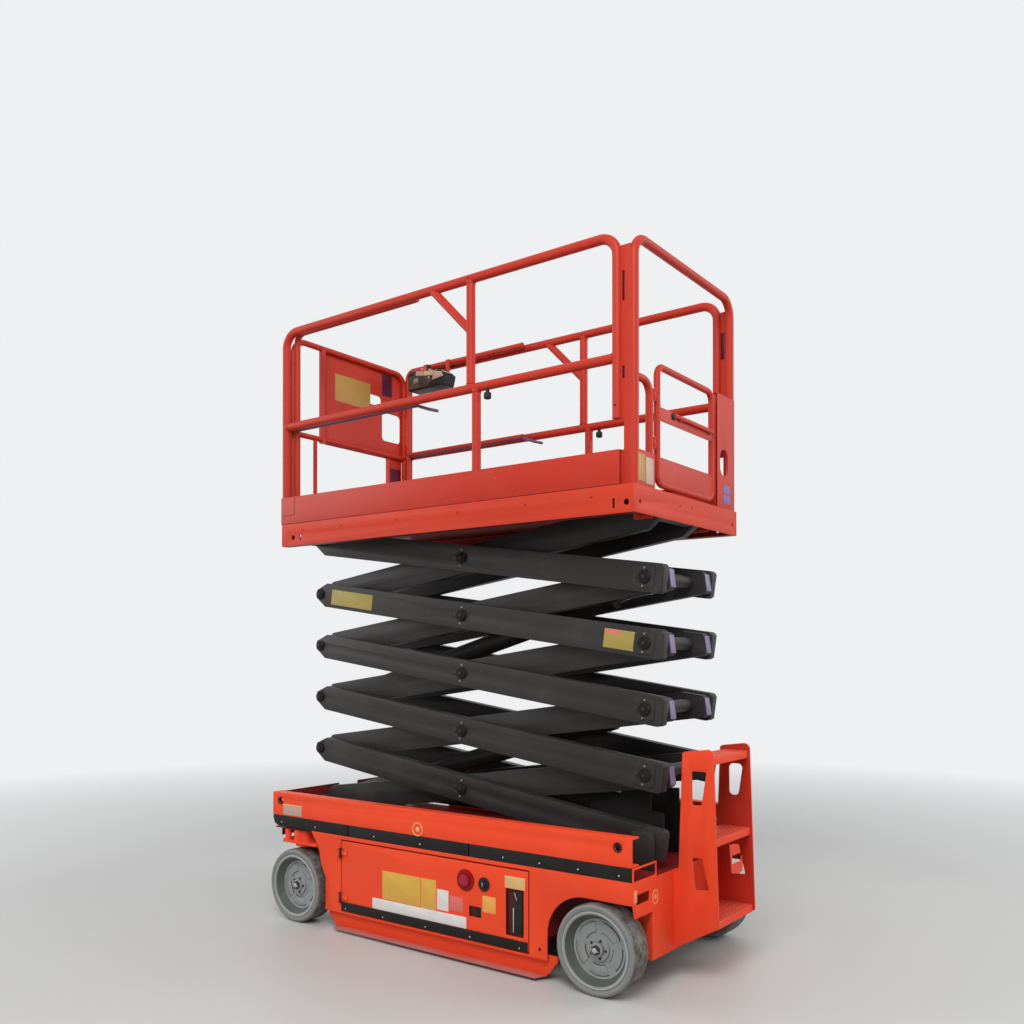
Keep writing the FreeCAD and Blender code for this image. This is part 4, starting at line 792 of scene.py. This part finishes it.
for stage in range(1, 6):
    softCopy(f"outer_arms_{stage}", stack["edge"], 3)
    softCopy(f"inner_arms_{stage}", stack["edge"], 3)

    # end plates of the arms, and collars with keeper plates and bolts at the pins
    for kind, faceY, isOuter in (("outer", stack["outer"], True), ("inner", stack["inner"], False)):
        if kind == "inner" and stage == 5:
            continue
        bm = bmesh.new()
        turn = armTurn(stage, isOuter)
        endX = half + stack["tail"]
        d = stack["depth"] / 2
        for sign in (-1, 1):
            y0, y1 = sign * (faceY - stack["width"] + 0.004), sign * (faceY - 0.004)
            head = d - 0.012 if isOuter else d - stack["slope"] - 0.010
            block(bm, (endX - 0.003, y0, -d + 0.010), (endX + 0.0035, y1, head), 0.002, 2, tone=2 if isOuter else 0, turn=turn)
            if isOuter:
                for x in (0.0, half):
                    for dz in (-0.041, 0.041):
                        bolt(bm, (x - 0.006, sign * faceY, dz), (0, sign, 0), 0.005, 3, turn=turn)
                    block(bm, (x - 0.053, sign * faceY, -0.011), (x - 0.031, sign * (faceY + 0.006), 0.011), 0.002, 2, tone=2, turn=turn)
                # weld seam plate round the end pin
                sheetPlate(bm, "y", sign * faceY, sign * 0.003, (half - 0.055, -0.052), (half + 0.050, 0.052), windows=[(half - 0.024, -0.024, half + 0.024, 0.024)],
                           corner=0.020, windowCorner=0.022, soft=0.001, tone=2, turn=turn)
        finishPiece(bm, f"{kind}_arm_fittings_{stage}", f"{kind}_arms_{stage}", [capPaint, zinc, armPaint, greyPlastic])

    # pin heads, on the arms that carry the pins
    bm = bmesh.new()
    turn = armTurn(stage, False)
    for sign in (-1, 1):
        for x in (-half, 0.0, half) if stage < 5 else (-half, 0.0):
            if stage == 1 and x < -0.5:
                continue
            tip = sign * (stack["outer"] + 0.008)
            rod(bm, (x, tip - sign * 0.003, 0), (x, tip + sign * 0.004, 0), 0.0245, 0.0015, 36, turn=turn)
            rod(bm, (x, tip + sign * 0.003, 0), (x, tip + sign * 0.009, 0), 0.009, 0.001, 6, turn=turn)
            ring = [turn @ Vector((x + 0.0268 * math.cos(a), tip - sign * 0.0015, 0.0268 * math.sin(a)))
                    for a in [k * math.tau / 36 for k in range(36)]]
            pipe(bm, ring, 0.0025, closed=True, tone=1, resolution=2)
    if bm.verts:
        finishPiece(bm, f"pin_heads_{stage}", f"inner_arms_{stage}", [armPaint, darkInside])
    else:
        bm.free()
print("scissor arms made")

# Plates on the arms
armPlates = {
    # stage, x0, z0, x1, z1 in the arm's own level place, colour
    "outer": ((4, -0.970, -0.048, -0.645, 0.037, 0), (4, 0.851, -0.045, 1.029, 0.042, 0)),
}
for stage, x0, z0, x1, z1, tone in armPlates["outer"]:
    bm = bmesh.new()
    for sign in (-1, 1):
        sheetPlate(bm, "y", sign * (stack["outer"] + 0.0001), sign * 0.0007, (x0, z0), (x1, z1), corner=0.003, soft=0.0002,
                   tone=0, turn=armTurn(stage, True))
        if x0 > 0:
            block(bm, (x0 + 0.004, sign * (stack["outer"] + 0.0006), z1 - 0.022), (x0 + 0.085, sign * (stack["outer"] + 0.0012), z1 - 0.004),
                  0.0002, 1, tone=1, turn=armTurn(stage, True))
    finishPiece(bm, f"arm_plate_{stage}_{'rear' if x0 > 0 else 'front'}", f"outer_arms_{stage}", [oliveFilm, pinkFilm])

# Dark plates on the deck between the arms, at the lowest pivots
deckPlate = {"inner": 0.134, "thick": 0.012, "outline": ((0.560, 0.4905), (0.884, 0.4905), (0.884, 0.650), (0.950, 0.650), (0.950, 0.718),
                                                        (0.884, 0.728), (0.884, 0.800), (0.600, 0.788), (0.560, 0.750))}
bm = bmesh.new()
for sign in (-1, 1):
    prism(bm, "y", deckPlate["outline"], sign * deckPlate["inner"], sign * deckPlate["thick"], 0.002, 2)
finishPiece(bm, "deck_plates", "chassis", darkInside)

# Lift cylinders: a ring at the barrel's end, hose ports and a hose
lift = {"barrel": 0.050, "rod": 0.030}
for i in (1, 3):
    low = Vector((middleX - half * math.cos(restAngle), 0, stack["pivotZ"] + stack["rise"] * (i - 1)))
    eyeAt = half - 0.134
    run = (eyeAt + half) * math.cos(restAngle)
    rise = (eyeAt + half + stack["length"]) * math.sin(restAngle)
    angle = math.atan2(rise, run)
    turn = Matrix.Translation(low) @ Matrix.Rotation(-angle, 4, "Y")
    barrelEnd = eyeAt + half - 0.124
    barrel = softCopy(f"lift_barrel_{i}", 0.002, 2)
    bm = bmesh.new()
    rod(bm, (barrelEnd - 0.050, 0, 0), (barrelEnd - 0.004, 0, 0), 0.0525, 0.002, 40, turn=turn)
    for x in (0.16, barrelEnd - 0.11):
        rod(bm, (x, 0.045, 0), (x, 0.062, 0), 0.012, 0.0015, 6, tone=1, turn=turn)
    pipe(bm, bendPath([turn @ Vector((0.16, 0.060, 0)), turn @ Vector((0.16, 0.074, 0)), turn @ Vector((barrelEnd - 0.11, 0.074, 0)),
                       turn @ Vector((barrelEnd - 0.11, 0.060, 0))], 0.012), 0.006, tone=2)
    finishPiece(bm, f"lift_fittings_{i}", f"lift_barrel_{i}", [armPaint, zinc, innerRed])
print("lift cylinders dressed")


# Ladder: studs on the treads

ladder = {"half": 0.192, "treads": ((1.080, 1.226, 0.285), (1.087, 1.215, 0.640), (1.094, 1.204, 0.995))}
bm = bmesh.new()
for x0, x1, z in ladder["treads"]:
    for row in range(4):
        for column in range(9):
            x = x0 + 0.018 + row * (x1 - x0 - 0.040) / 3
            y = -ladder["half"] + 0.026 + column * (2 * ladder["half"] - 0.052) / 8
            rod(bm, (x, y, z - 0.0005), (x, y, z + 0.0025), 0.008, 0.0012, 10, endRadius=0.005)
finishPiece(bm, "tread_studs", "chassis", [redPaint])


# Guard rails

rail = {
    "front": -1.232, "rear": 0.940, "outer": 0.522, "low": 2.160, "top": 3.250, "tube": 0.022, "bend": 0.085,
    "mid": 2.705, "post": 0.115, "lowPost": 0.149, "toe": 0.150, "brace": (-0.128, 2.980), "tieFront": 0.905, "tieRear": 0.985, "tieTop": 3.178, "foot": 2.445,
    "cornerPlate": (0.110, 0.050),
    "slots": ((0.9435, 2.941, 0.9555, 3.068), (0.9435, 2.612, 0.9555, 2.664)),
}
for side, sign in (("near", -1), ("far", 1)):
    bm = bmesh.new()
    r = rail["tube"]
    y = sign * (rail["outer"] - r)
    x0, x1, z0, z1 = rail["front"] + r, rail["rear"] - r, rail["low"], rail["top"] - r
    pipe(bm, bendPath([(x0, y, z0), (x0, y, z1), (x1, y, z1), (x1, y, rail["foot"])], rail["bend"], 10), r, resolution=5)
    pipe(bm, [(x0, y, rail["mid"]), (x1, y, rail["mid"])], r, resolution=5)
    pipe(bm, [(rail["post"], y, rail["mid"]), (rail["post"], y, z1)], r, resolution=5)
    pipe(bm, [(rail["lowPost"], y, z0), (rail["lowPost"], y, rail["mid"])], r, resolution=5)
    pipe(bm, [(rail["brace"][0], y, z1), (rail["post"], y, rail["brace"][1])], r * 0.92, resolution=5)
    outer = sign * rail["outer"]
    block(bm, (x0 - r + 0.0018, outer, z0 + 0.0025), (x1 + r, outer - sign * 0.005, z0 + rail["toe"]), 0.0018, 2)
    seamX, seamZ = x0 - r + rail["cornerPlate"][0], z0 + rail["cornerPlate"][1]
    block(bm, (seamX, outer, seamZ), (seamX + 0.003, outer + sign * 0.0006, z0 + rail["toe"] - 0.004), 0.0002, 1, tone=2)
    block(bm, (x0 - r + 0.012, outer, seamZ - 0.003), (seamX + 0.003, outer + sign * 0.0006, seamZ), 0.0002, 1, tone=2)
    block(bm, (x0, outer - sign * 0.0015, z0), (x1 + r, outer - sign * 0.005, z0 + 0.004), 0.0005, 1, tone=1)
    block(bm, (x0, outer - sign * 0.004, z0 + rail["toe"] - 0.005), (x1 + r, outer - sign * 0.030, z0 + rail["toe"]), 0.0018, 2)
    block(bm, (x0 - r + 0.001, outer - sign * 0.0012, z0), (x0 + r, outer - sign * 0.038, z0 + rail["toe"] - 0.001), 0.004, 3)
    tieY, thick = sign * (rail["outer"] - 0.018), -sign * 0.007
    sheetPlate(bm, "y", tieY, thick, (rail["tieFront"], z0), (rail["tieRear"], rail["tieTop"]),
               windows=(*rail["slots"], (rail["tieFront"], z0 + rail["toe"], 0.952, rail["foot"] - 0.006)), windowCorner=0.0049,
               soft=0.001)
    # dark backing behind the slots: painted shade seen through them
    for sx0, sz0, sx1, sz1 in rail["slots"]:
        block(bm, (sx0 - 0.003, tieY + thick, sz0 - 0.003), (sx1 + 0.003, tieY + thick * 1.3, sz1 + 0.003), 0.0005, 1, tone=1)
    block(bm, (x1 - 0.006, y - 0.012, rail["foot"] + 0.050), (x1 + 0.006, y + sign * (r + 0.0006), rail["foot"] + 0.058), 0.0005, 1, tone=1)
    # weld beads where the tubes meet
    for x, z, way in ((x0 + r, rail["mid"], "x"), (x1 - r, rail["mid"], "x"), (rail["post"], z1 - r, "z"),
                      (rail["post"], rail["mid"] + r, "z"), (rail["lowPost"], rail["mid"] - r, "z")):
        ringRadius = r * 0.98
        if way == "x":
            bead = [(x, y + ringRadius * math.cos(a), z + ringRadius * math.sin(a)) for a in [k * math.tau / 20 for k in range(20)]]
        else:
            bead = [(x + ringRadius * math.cos(a), y + ringRadius * math.sin(a), z) for a in [k * math.tau / 20 for k in range(20)]]
        pipe(bm, bead, 0.003, closed=True, resolution=2)
    finishPiece(bm, f"rail_tubes_{side}", "platform", [railPaint, seamShadow, hingeAndShadePaint], (f"side_rail_{side}",), sharp=50)
    # spring knobs that lock the roll-out deck
    bm = bmesh.new()
    knobX, knobZ = 0.216, 2.656
    rod(bm, (knobX, y, rail["mid"] - 0.018), (knobX, y, knobZ + 0.012), 0.009, 0.001, 20)
    rod(bm, (knobX, y, knobZ + 0.016), (knobX, y, knobZ - 0.016), 0.018, 0.007, 28)
    finishPiece(bm, f"lock_knob_{side}", "platform", [blackPlastic])
print("side rails made")


# Frame round the gateway

gateFrame = {
    "x": 0.992, "outer": 0.506, "top": 3.238, "low": 2.160, "tube": 0.020, "bend": 0.085, "nearTop": 2.640, "nearPost": -0.337, "hinge": -0.318,
    "farPost": 0.300, "farTop": 2.717, "toe": 0.150, "hole": (0.330, 2.318, 0.424, 2.451),
}
bm = bmesh.new()
g = gateFrame
r, y, x, z0, z1 = g["tube"], g["outer"] - g["tube"], g["x"], g["low"], g["top"] - g["tube"]
pipe(bm, bendPath([(x, -y, z0), (x, -y, z1), (x, y, z1), (x, y, z0)], g["bend"], 10), r, resolution=5)
short = 0.017
pipe(bm, bendPath([(x, -y, g["nearTop"] - short), (x, g["nearPost"] - short, g["nearTop"] - short), (x, g["nearPost"] - short, z0)], 0.06), short)
sheetPlate(bm, "x", x + 0.013, 0.006, (-y, z0), (g["nearPost"], z0 + g["toe"]), soft=0.0015)
sheetPlate(bm, "x", x + 0.011, 0.008, (g["farPost"], z0), (y + 0.012, g["farTop"]), windows=[g["hole"]], windowCorner=0.046, soft=0.002)
for yEdge in (g["farPost"], y - 0.006):
    block(bm, (x - 0.018, yEdge, z0), (x + 0.017, yEdge + 0.007, g["farTop"]), 0.002, 2)
block(bm, (x - 0.018, g["farPost"], g["farTop"] - 0.008), (x + 0.017, y, g["farTop"]), 0.002, 2)
for z in (2.350, 2.560):
    for low in (z - 0.012, z + 0.0285):
        rod(bm, (x, g["hinge"], low), (x, g["hinge"], low + 0.0115), 0.0128, 0.0015, 24)
        block(bm, (x - 0.007, g["nearPost"] - 0.010, low), (x + 0.007, g["hinge"], low + 0.0115), 0.0015, 2)
    rod(bm, (x, g["hinge"], z - 0.014), (x, g["hinge"], z + 0.044), 0.0058, 0.001, 16, tone=1)
finishPiece(bm, "gateway_tubes", "platform", [railPaint, zinc], ("rear_frame",), sharp=50)

gateway = {"plates": (("yellow", -0.486, 2.178, -0.425, 2.292), ("white", -0.418, 2.172, -0.352, 2.285))}
bm = bmesh.new()
for colour, y0, zLow, y1, zHigh in gateway["plates"]:
    sheetPlate(bm, "x", x + 0.0191, 0.0006, (y0, zLow), (y1, zHigh), corner=0.003, soft=0.0002, tone=films[colour])
for row in range(2):
    for column in range(2):
        cy, cz = 0.389 + column * 0.040, 2.207 + row * 0.048
        sheetPlate(bm, "x", x + 0.0191, 0.0006, (cy - 0.016, cz - 0.020), (cy + 0.016, cz + 0.020), corner=0.005, soft=0.0002, tone=4)
finishPiece(bm, "gateway_plates", "platform", [ochreFilm, fadedFilm, pinkFilm, paleYellow, blueFilm])

gate = {
    "near": -0.299, "far": 0.285, "low": 2.175, "top": 2.725, "tube": 0.015, "kick": 2.305, "mid": (2.470, 2.530),
    "bar": (-0.118, 0.254), "knob": -0.150, "latchZ": 2.511,
}
bm = bmesh.new()
t = gate["tube"]
nearY, farY, topZ, lowZ = gate["near"] + t, gate["far"] - t, gate["top"] - t, gate["low"] + t
loop = bendPath([(x, 0.0, lowZ), (x, nearY, lowZ), (x, nearY, topZ), (x, farY, topZ), (x, farY, lowZ), (x, 0.001, lowZ)], 0.045)
pipe(bm, loop[:-1], t, closed=True, resolution=4)
sheetPlate(bm, "x", x + 0.006, 0.004, (nearY, lowZ), (farY, gate["kick"]), soft=0.001)
sheetPlate(bm, "x", x + 0.004, 0.006, (nearY, gate["mid"][0]), (farY, gate["mid"][1]), soft=0.0015)
block(bm, (x - 0.012, nearY, gate["kick"] - 0.003), (x + 0.010, farY, gate["kick"] + 0.003), 0.0015, 2)
for z in (2.350, 2.560):
    rod(bm, (x, g["hinge"], z), (x, g["hinge"], z + 0.028), 0.0128, 0.0015, 24)
    block(bm, (x - 0.006, g["hinge"], z), (x + 0.006, nearY, z + 0.028), 0.0015, 2)
# latch bar, its guides and its knob
latchZ = gate["latchZ"]
rod(bm, (x + 0.0185, gate["bar"][0], latchZ), (x + 0.0185, gate["bar"][1], latchZ), 0.0075, 0.001, 20)
for guideY in (-0.095, 0.215):
    block(bm, (x + 0.009, guideY, latchZ - 0.013), (x + 0.0198, guideY + 0.016, latchZ + 0.013), 0.003, 2)
rod(bm, (x + 0.010, gate["knob"], latchZ), (x + 0.0195, gate["knob"], latchZ), 0.017, 0.005, 28, tone=2)
finishPiece(bm, "gate_leaf", "entry_gate", [railPaint, zinc, blackPlastic], ("entry_gate",), sharp=50)
print("gateway and gate made")


# Roll-out deck's own rails

out = {
    "x": -1.209, "y": 0.470, "low": 2.166, "top": 3.230, "tube": 0.017, "bend": 0.085, "mid": 2.705, "back": -0.272,
    "panel": (-0.250, 2.665, 0.298), "windows": ((0.264, 2.775, 0.424, 2.950), (0.143, 2.981, 0.254, 3.041)),
    "pocket": (0.298, 0.436, 2.664), "thinPost": -0.292, "sideTop": 3.250, "label": (-0.130, 2.940, 0.160, 3.100),
    "band": (0.263, 3.055, 0.349, 3.190), "lowBand": (0.335, 2.330, 0.425, 2.610),
}
bm = bmesh.new()
r = out["tube"]
x, y, z0, z1 = out["x"], out["y"] - r, out["low"], out["top"] - r
pipe(bm, bendPath([(x, -y, z0), (x, -y, z1), (x, y, z1), (x, y, z0)], out["bend"], 9), r, resolution=5)
p0, pLow, p1 = out["panel"]
sheetPlate(bm, "x", x - 0.015, 0.005, (p0, pLow), (y, z1), windows=out["windows"], windowCorner=0.024, soft=0.0015)
sheetPlate(bm, "x", x - 0.015, 0.005, (-y, z0), (y, z0 + 0.146), soft=0.0015)
pipe(bm, [(x, p0 + 0.017, pLow), (x, p0 + 0.017, z1)], r, resolution=4)
pipe(bm, [(x, out["thinPost"], z0), (x, out["thinPost"], pLow + 0.02)], r * 0.7, resolution=4)
pipe(bm, [(x, -y, out["mid"] - 0.02), (x, y, out["mid"] - 0.02)], r * 0.95, resolution=4)
q0, q1, qHigh = out["pocket"]
sheetPlate(bm, "x", x - 0.013, 0.005, (q0, z0 + 0.14), (q1, qHigh + 0.02), soft=0.0015)
block(bm, (x - 0.013, q0, z0 + 0.14), (x + 0.016, q0 + 0.010, qHigh), 0.003, 2)
for b0, bLow, b1, bHigh, face in ((*out["band"], x - 0.010), (*out["lowBand"], x - 0.008)):
    sheetPlate(bm, "x", face, 0.0008, (b0, bLow), (b1, bHigh), soft=0.0002, tone=1)
finishPiece(bm, "extension_front_tubes", "extension", [railPaint, seamShadow], ("extension_front_frame",), sharp=50)

bm = bmesh.new()
y0, zLow, y1, zHigh = out["label"]
sheetPlate(bm, "x", x - 0.0100, 0.0007, (y0, zLow), (y1, zHigh), corner=0.004, soft=0.0002)
finishPiece(bm, "extension_plate", "extension", [ochreFilm])

for side, sign in (("near", -1), ("far", 1)):
    bm = bmesh.new()
    yy, sideTop = sign * y, out["sideTop"] - r
    pipe(bm, bendPath([(out["back"], yy, sideTop), (x + 0.034, yy, sideTop), (x + 0.034, yy, z0 + 0.002)], 0.050, 7), r, resolution=5)
    pipe(bm, [(x + 0.034, yy, out["mid"] - 0.003), (out["back"], yy, out["mid"] - 0.003)], r * 0.95, resolution=5)
    pipe(bm, bendPath([(out["back"] - 0.012, yy, out["mid"] - 0.006), (out["back"] + 0.080, yy, 2.664), (-0.135, yy, 2.647)], 0.05), 0.008, tone=1)
    finishPiece(bm, f"extension_side_tubes_{side}", "extension", [railPaint, leverPaint], (f"extension_side_{side}",), sharp=50)

# Control box with its lever, switches and covers
control = {"x": -1.232, "y": 0.436, "depth": 0.110, "foot": 3.065, "head": 3.185, "lever": (0.300, 0.376), "rail": 3.248,
           "patches": ((9, 0.006, 0.003, ((0.180, 3.072), (0.330, 3.070), (0.372, 3.104), (0.345, 3.140), (0.255, 3.156), (0.186, 3.150))),
                       (2, 0.010, 0.004, ((0.222, 3.098), (0.262, 3.106), (0.258, 3.136), (0.226, 3.132))),
                       (5, 0.008, 0.003, ((0.238, 3.150), (0.298, 3.140), (0.302, 3.166), (0.246, 3.176))),
                       (8, 0.009, 0.003, ((0.304, 3.138), (0.378, 3.130), (0.380, 3.158), (0.308, 3.168))),
                       (5, 0.011, 0.004, ((0.378, 3.100), (0.462, 3.112), (0.452, 3.140), (0.384, 3.158))))}
bm = bmesh.new()
c = control
outline = [(c["x"] + 0.172, c["foot"]), (c["x"] + 0.455, c["foot"]), (c["x"] + 0.472, c["foot"] + 0.065),
           (c["x"] + 0.440, c["head"] - 0.028), (c["x"] + 0.190, c["head"]), (c["x"] + 0.170, c["head"] - 0.020)]
prism(bm, "y", outline, c["y"] - 0.001, -c["depth"] + 0.002, 0.008, 4)
leverX, leverY = c["x"] + c["lever"][0], c["lever"][1]
rod(bm, (leverX, leverY, c["head"] - 0.020), (leverX, leverY, c["head"] + 0.012), 0.024, 0.004, 28, endRadius=0.013)
rod(bm, (leverX, leverY, c["head"] + 0.008), (leverX, leverY, c["head"] + 0.024), 0.009, 0.002, 20)
rod(bm, (leverX, leverY, c["head"] + 0.017), (leverX, leverY, c["head"] + 0.034), 0.0138, 0.005, 24)
for sx, radius, rise, tone in ((0.215, 0.018, 0.020, 1), (0.255, 0.008, 0.016, 2), (0.360, 0.008, 0.014, 2), (0.395, 0.013, 0.010, 4)):
    slide = c["head"] - 0.112 * max(0.0, sx - 0.190)
    rod(bm, (c["x"] + sx, leverY, slide - 0.006), (c["x"] + sx, leverY, slide + rise), radius, 0.003, 28, tone=tone)
for px in (0.230, 0.350):
    rod(bm, (c["x"] + px, c["y"] - c["depth"] - 0.0005, 3.12), (c["x"] + px, c["y"] - c["depth"] - 0.008, 3.12), 0.010, 0.002, 24, tone=2)
for hx in (0.210, 0.390):
    block(bm, (c["x"] + hx, c["y"] - 0.006, c["head"] - 0.040), (c["x"] + hx + 0.030, c["y"], c["rail"]), 0.001, 2, tone=7)
# pouch, papers and covers on the near face, each in its own colour
for tone, thick, low, patch in control["patches"]:
    prism(bm, "y", [(c["x"] + u, v) for u, v in patch], c["y"] - c["depth"] + 0.002, -thick, low, 3, tone=tone)
# folded cover beside the lever, in pale plastic
for cx0, cx1, rise, tone in ((0.415, 0.462, 0.000, 5), (0.330, 0.352, 0.012, 5), (0.268, 0.286, 0.020, 6)):
    slide = c["head"] - 0.112 * max(0.0, cx1 - 0.190)
    prism(bm, "y", [(c["x"] + cx0, slide - 0.030), (c["x"] + cx1, slide - 0.034), (c["x"] + cx1 - 0.006, slide + rise - 0.004),
                    (c["x"] + cx0 + 0.008, slide + rise + 0.004)], leverY + 0.030, -0.075, 0.004, 3, tone=tone)
finishPiece(bm, "control_case", "extension", [blackPlastic, redButton, greyPlastic, zinc, yellowFilm, paleCover, pinkFilm, railPaint, beigeCover, brownCover],
            ("control_box",))
print("roll-out deck dressed")


# Platform: bolts on the channels and on its rear

platform = {"y": 0.522, "rear": 1.012, "bolts": (-1.05, -0.75, -0.35, 0.05, 0.45, 0.80)}
bm = bmesh.new()
for sign in (-1, 1):
    for bx in platform["bolts"]:
        bolt(bm, (bx, sign * 0.522, 2.120), (0, sign, 0), 0.0045, 0)
for by, bz in ((-0.10, 2.115), (0.02, 2.122)):
    bolt(bm, (platform["rear"], by, bz), (1, 0, 0), 0.0045, 0)
finishPiece(bm, "platform_bolts", "platform", [railPaint])


# Floor, light and world

studio = {
    "floor": (0.60, 0.60, 0.585), "backdrop": (0.86, 0.87, 0.88),
    "key": (270, (2.6, -4.6, 5.6), 3.4), "fill": (100, (-5.2, -3.0, 3.6), 3.6), "back": (115, (4.8, 2.8, 3.6), 3.2),
    "world": 0.45, "fadeFrom": 3.2, "fadeTo": 8.5,
}
floorMat, floorTree, floorShader, floorPlace = newMaterial("pale floor")
clouds = noise(floorTree, floorPlace, 0.8, 5.0, 0.6)
floorTree.links.new(blendColour(floorTree, clouds, studio["floor"], tuple(c * 0.93 for c in studio["floor"])),
                    floorShader.inputs["Base Color"])
floorShader.inputs["Roughness"].default_value = 0.5
length = floorTree.nodes.new("ShaderNodeVectorMath")
length.operation = "LENGTH"
floorTree.links.new(floorPlace, length.inputs[0])
fade = ramp(floorTree, length.outputs["Value"], studio["fadeFrom"], studio["fadeTo"], 0.0, 1.0)
glow = floorTree.nodes.new("ShaderNodeEmission")
glow.inputs["Color"].default_value = (*studio["backdrop"], 1)
paths = floorTree.nodes.new("ShaderNodeLightPath")
seen = combine(floorTree, "MAXIMUM", paths.outputs["Is Camera Ray"], paths.outputs["Is Glossy Ray"])
seen = combine(floorTree, "MAXIMUM", seen, paths.outputs["Is Transmission Ray"])
mixShader = floorTree.nodes.new("ShaderNodeMixShader")
floorTree.links.new(combine(floorTree, "MULTIPLY", fade, seen), mixShader.inputs["Fac"])
floorTree.links.new(floorShader.outputs["BSDF"], mixShader.inputs[1])
floorTree.links.new(glow.outputs["Emission"], mixShader.inputs[2])
floorTree.links.new(mixShader.outputs["Shader"], [n for n in floorTree.nodes if n.type == "OUTPUT_MATERIAL"][0].inputs["Surface"])

floorBm = bmesh.new()
bmesh.ops.create_grid(floorBm, x_segments=1, y_segments=1, size=40)
floorData = bpy.data.meshes.new("floor")
floorBm.to_mesh(floorData)
floorBm.free()
floor = bpy.data.objects.new("floor", floorData)
bpy.context.scene.collection.objects.link(floor)
floorData.materials.append(floorMat)

for lampName in ("key", "fill", "back"):
    power, spot, size = studio[lampName]
    lamp = bpy.data.lights.new(lampName, "AREA")
    lamp.energy = power
    lamp.size = size
    lampObject = bpy.data.objects.new(lampName, lamp)
    lampObject.location = spot
    lampObject.rotation_euler = (Vector((0, 0, 1.4)) - Vector(spot)).to_track_quat("-Z", "Y").to_euler()
    bpy.context.scene.collection.objects.link(lampObject)

world = bpy.data.worlds.new("studio")
world.use_nodes = True
bpy.context.scene.world = world
worldTree = world.node_tree
dim = worldTree.nodes["Background"]
dim.inputs["Color"].default_value = (0.92, 0.94, 0.97, 1)
dim.inputs["Strength"].default_value = studio["world"]
bright = worldTree.nodes.new("ShaderNodeBackground")
bright.inputs["Color"].default_value = (*studio["backdrop"], 1)
worldPaths = worldTree.nodes.new("ShaderNodeLightPath")
worldSeen = combine(worldTree, "MAXIMUM", worldPaths.outputs["Is Camera Ray"], worldPaths.outputs["Is Glossy Ray"])
worldSeen = combine(worldTree, "MAXIMUM", worldSeen, worldPaths.outputs["Is Transmission Ray"])
worldMix = worldTree.nodes.new("ShaderNodeMixShader")
worldTree.links.new(worldSeen, worldMix.inputs["Fac"])
worldTree.links.new(dim.outputs["Background"], worldMix.inputs[1])
worldTree.links.new(bright.outputs["Background"], worldMix.inputs[2])
worldTree.links.new(worldMix.outputs["Shader"], worldTree.nodes["World Output"].inputs["Surface"])
print("floor and light set")
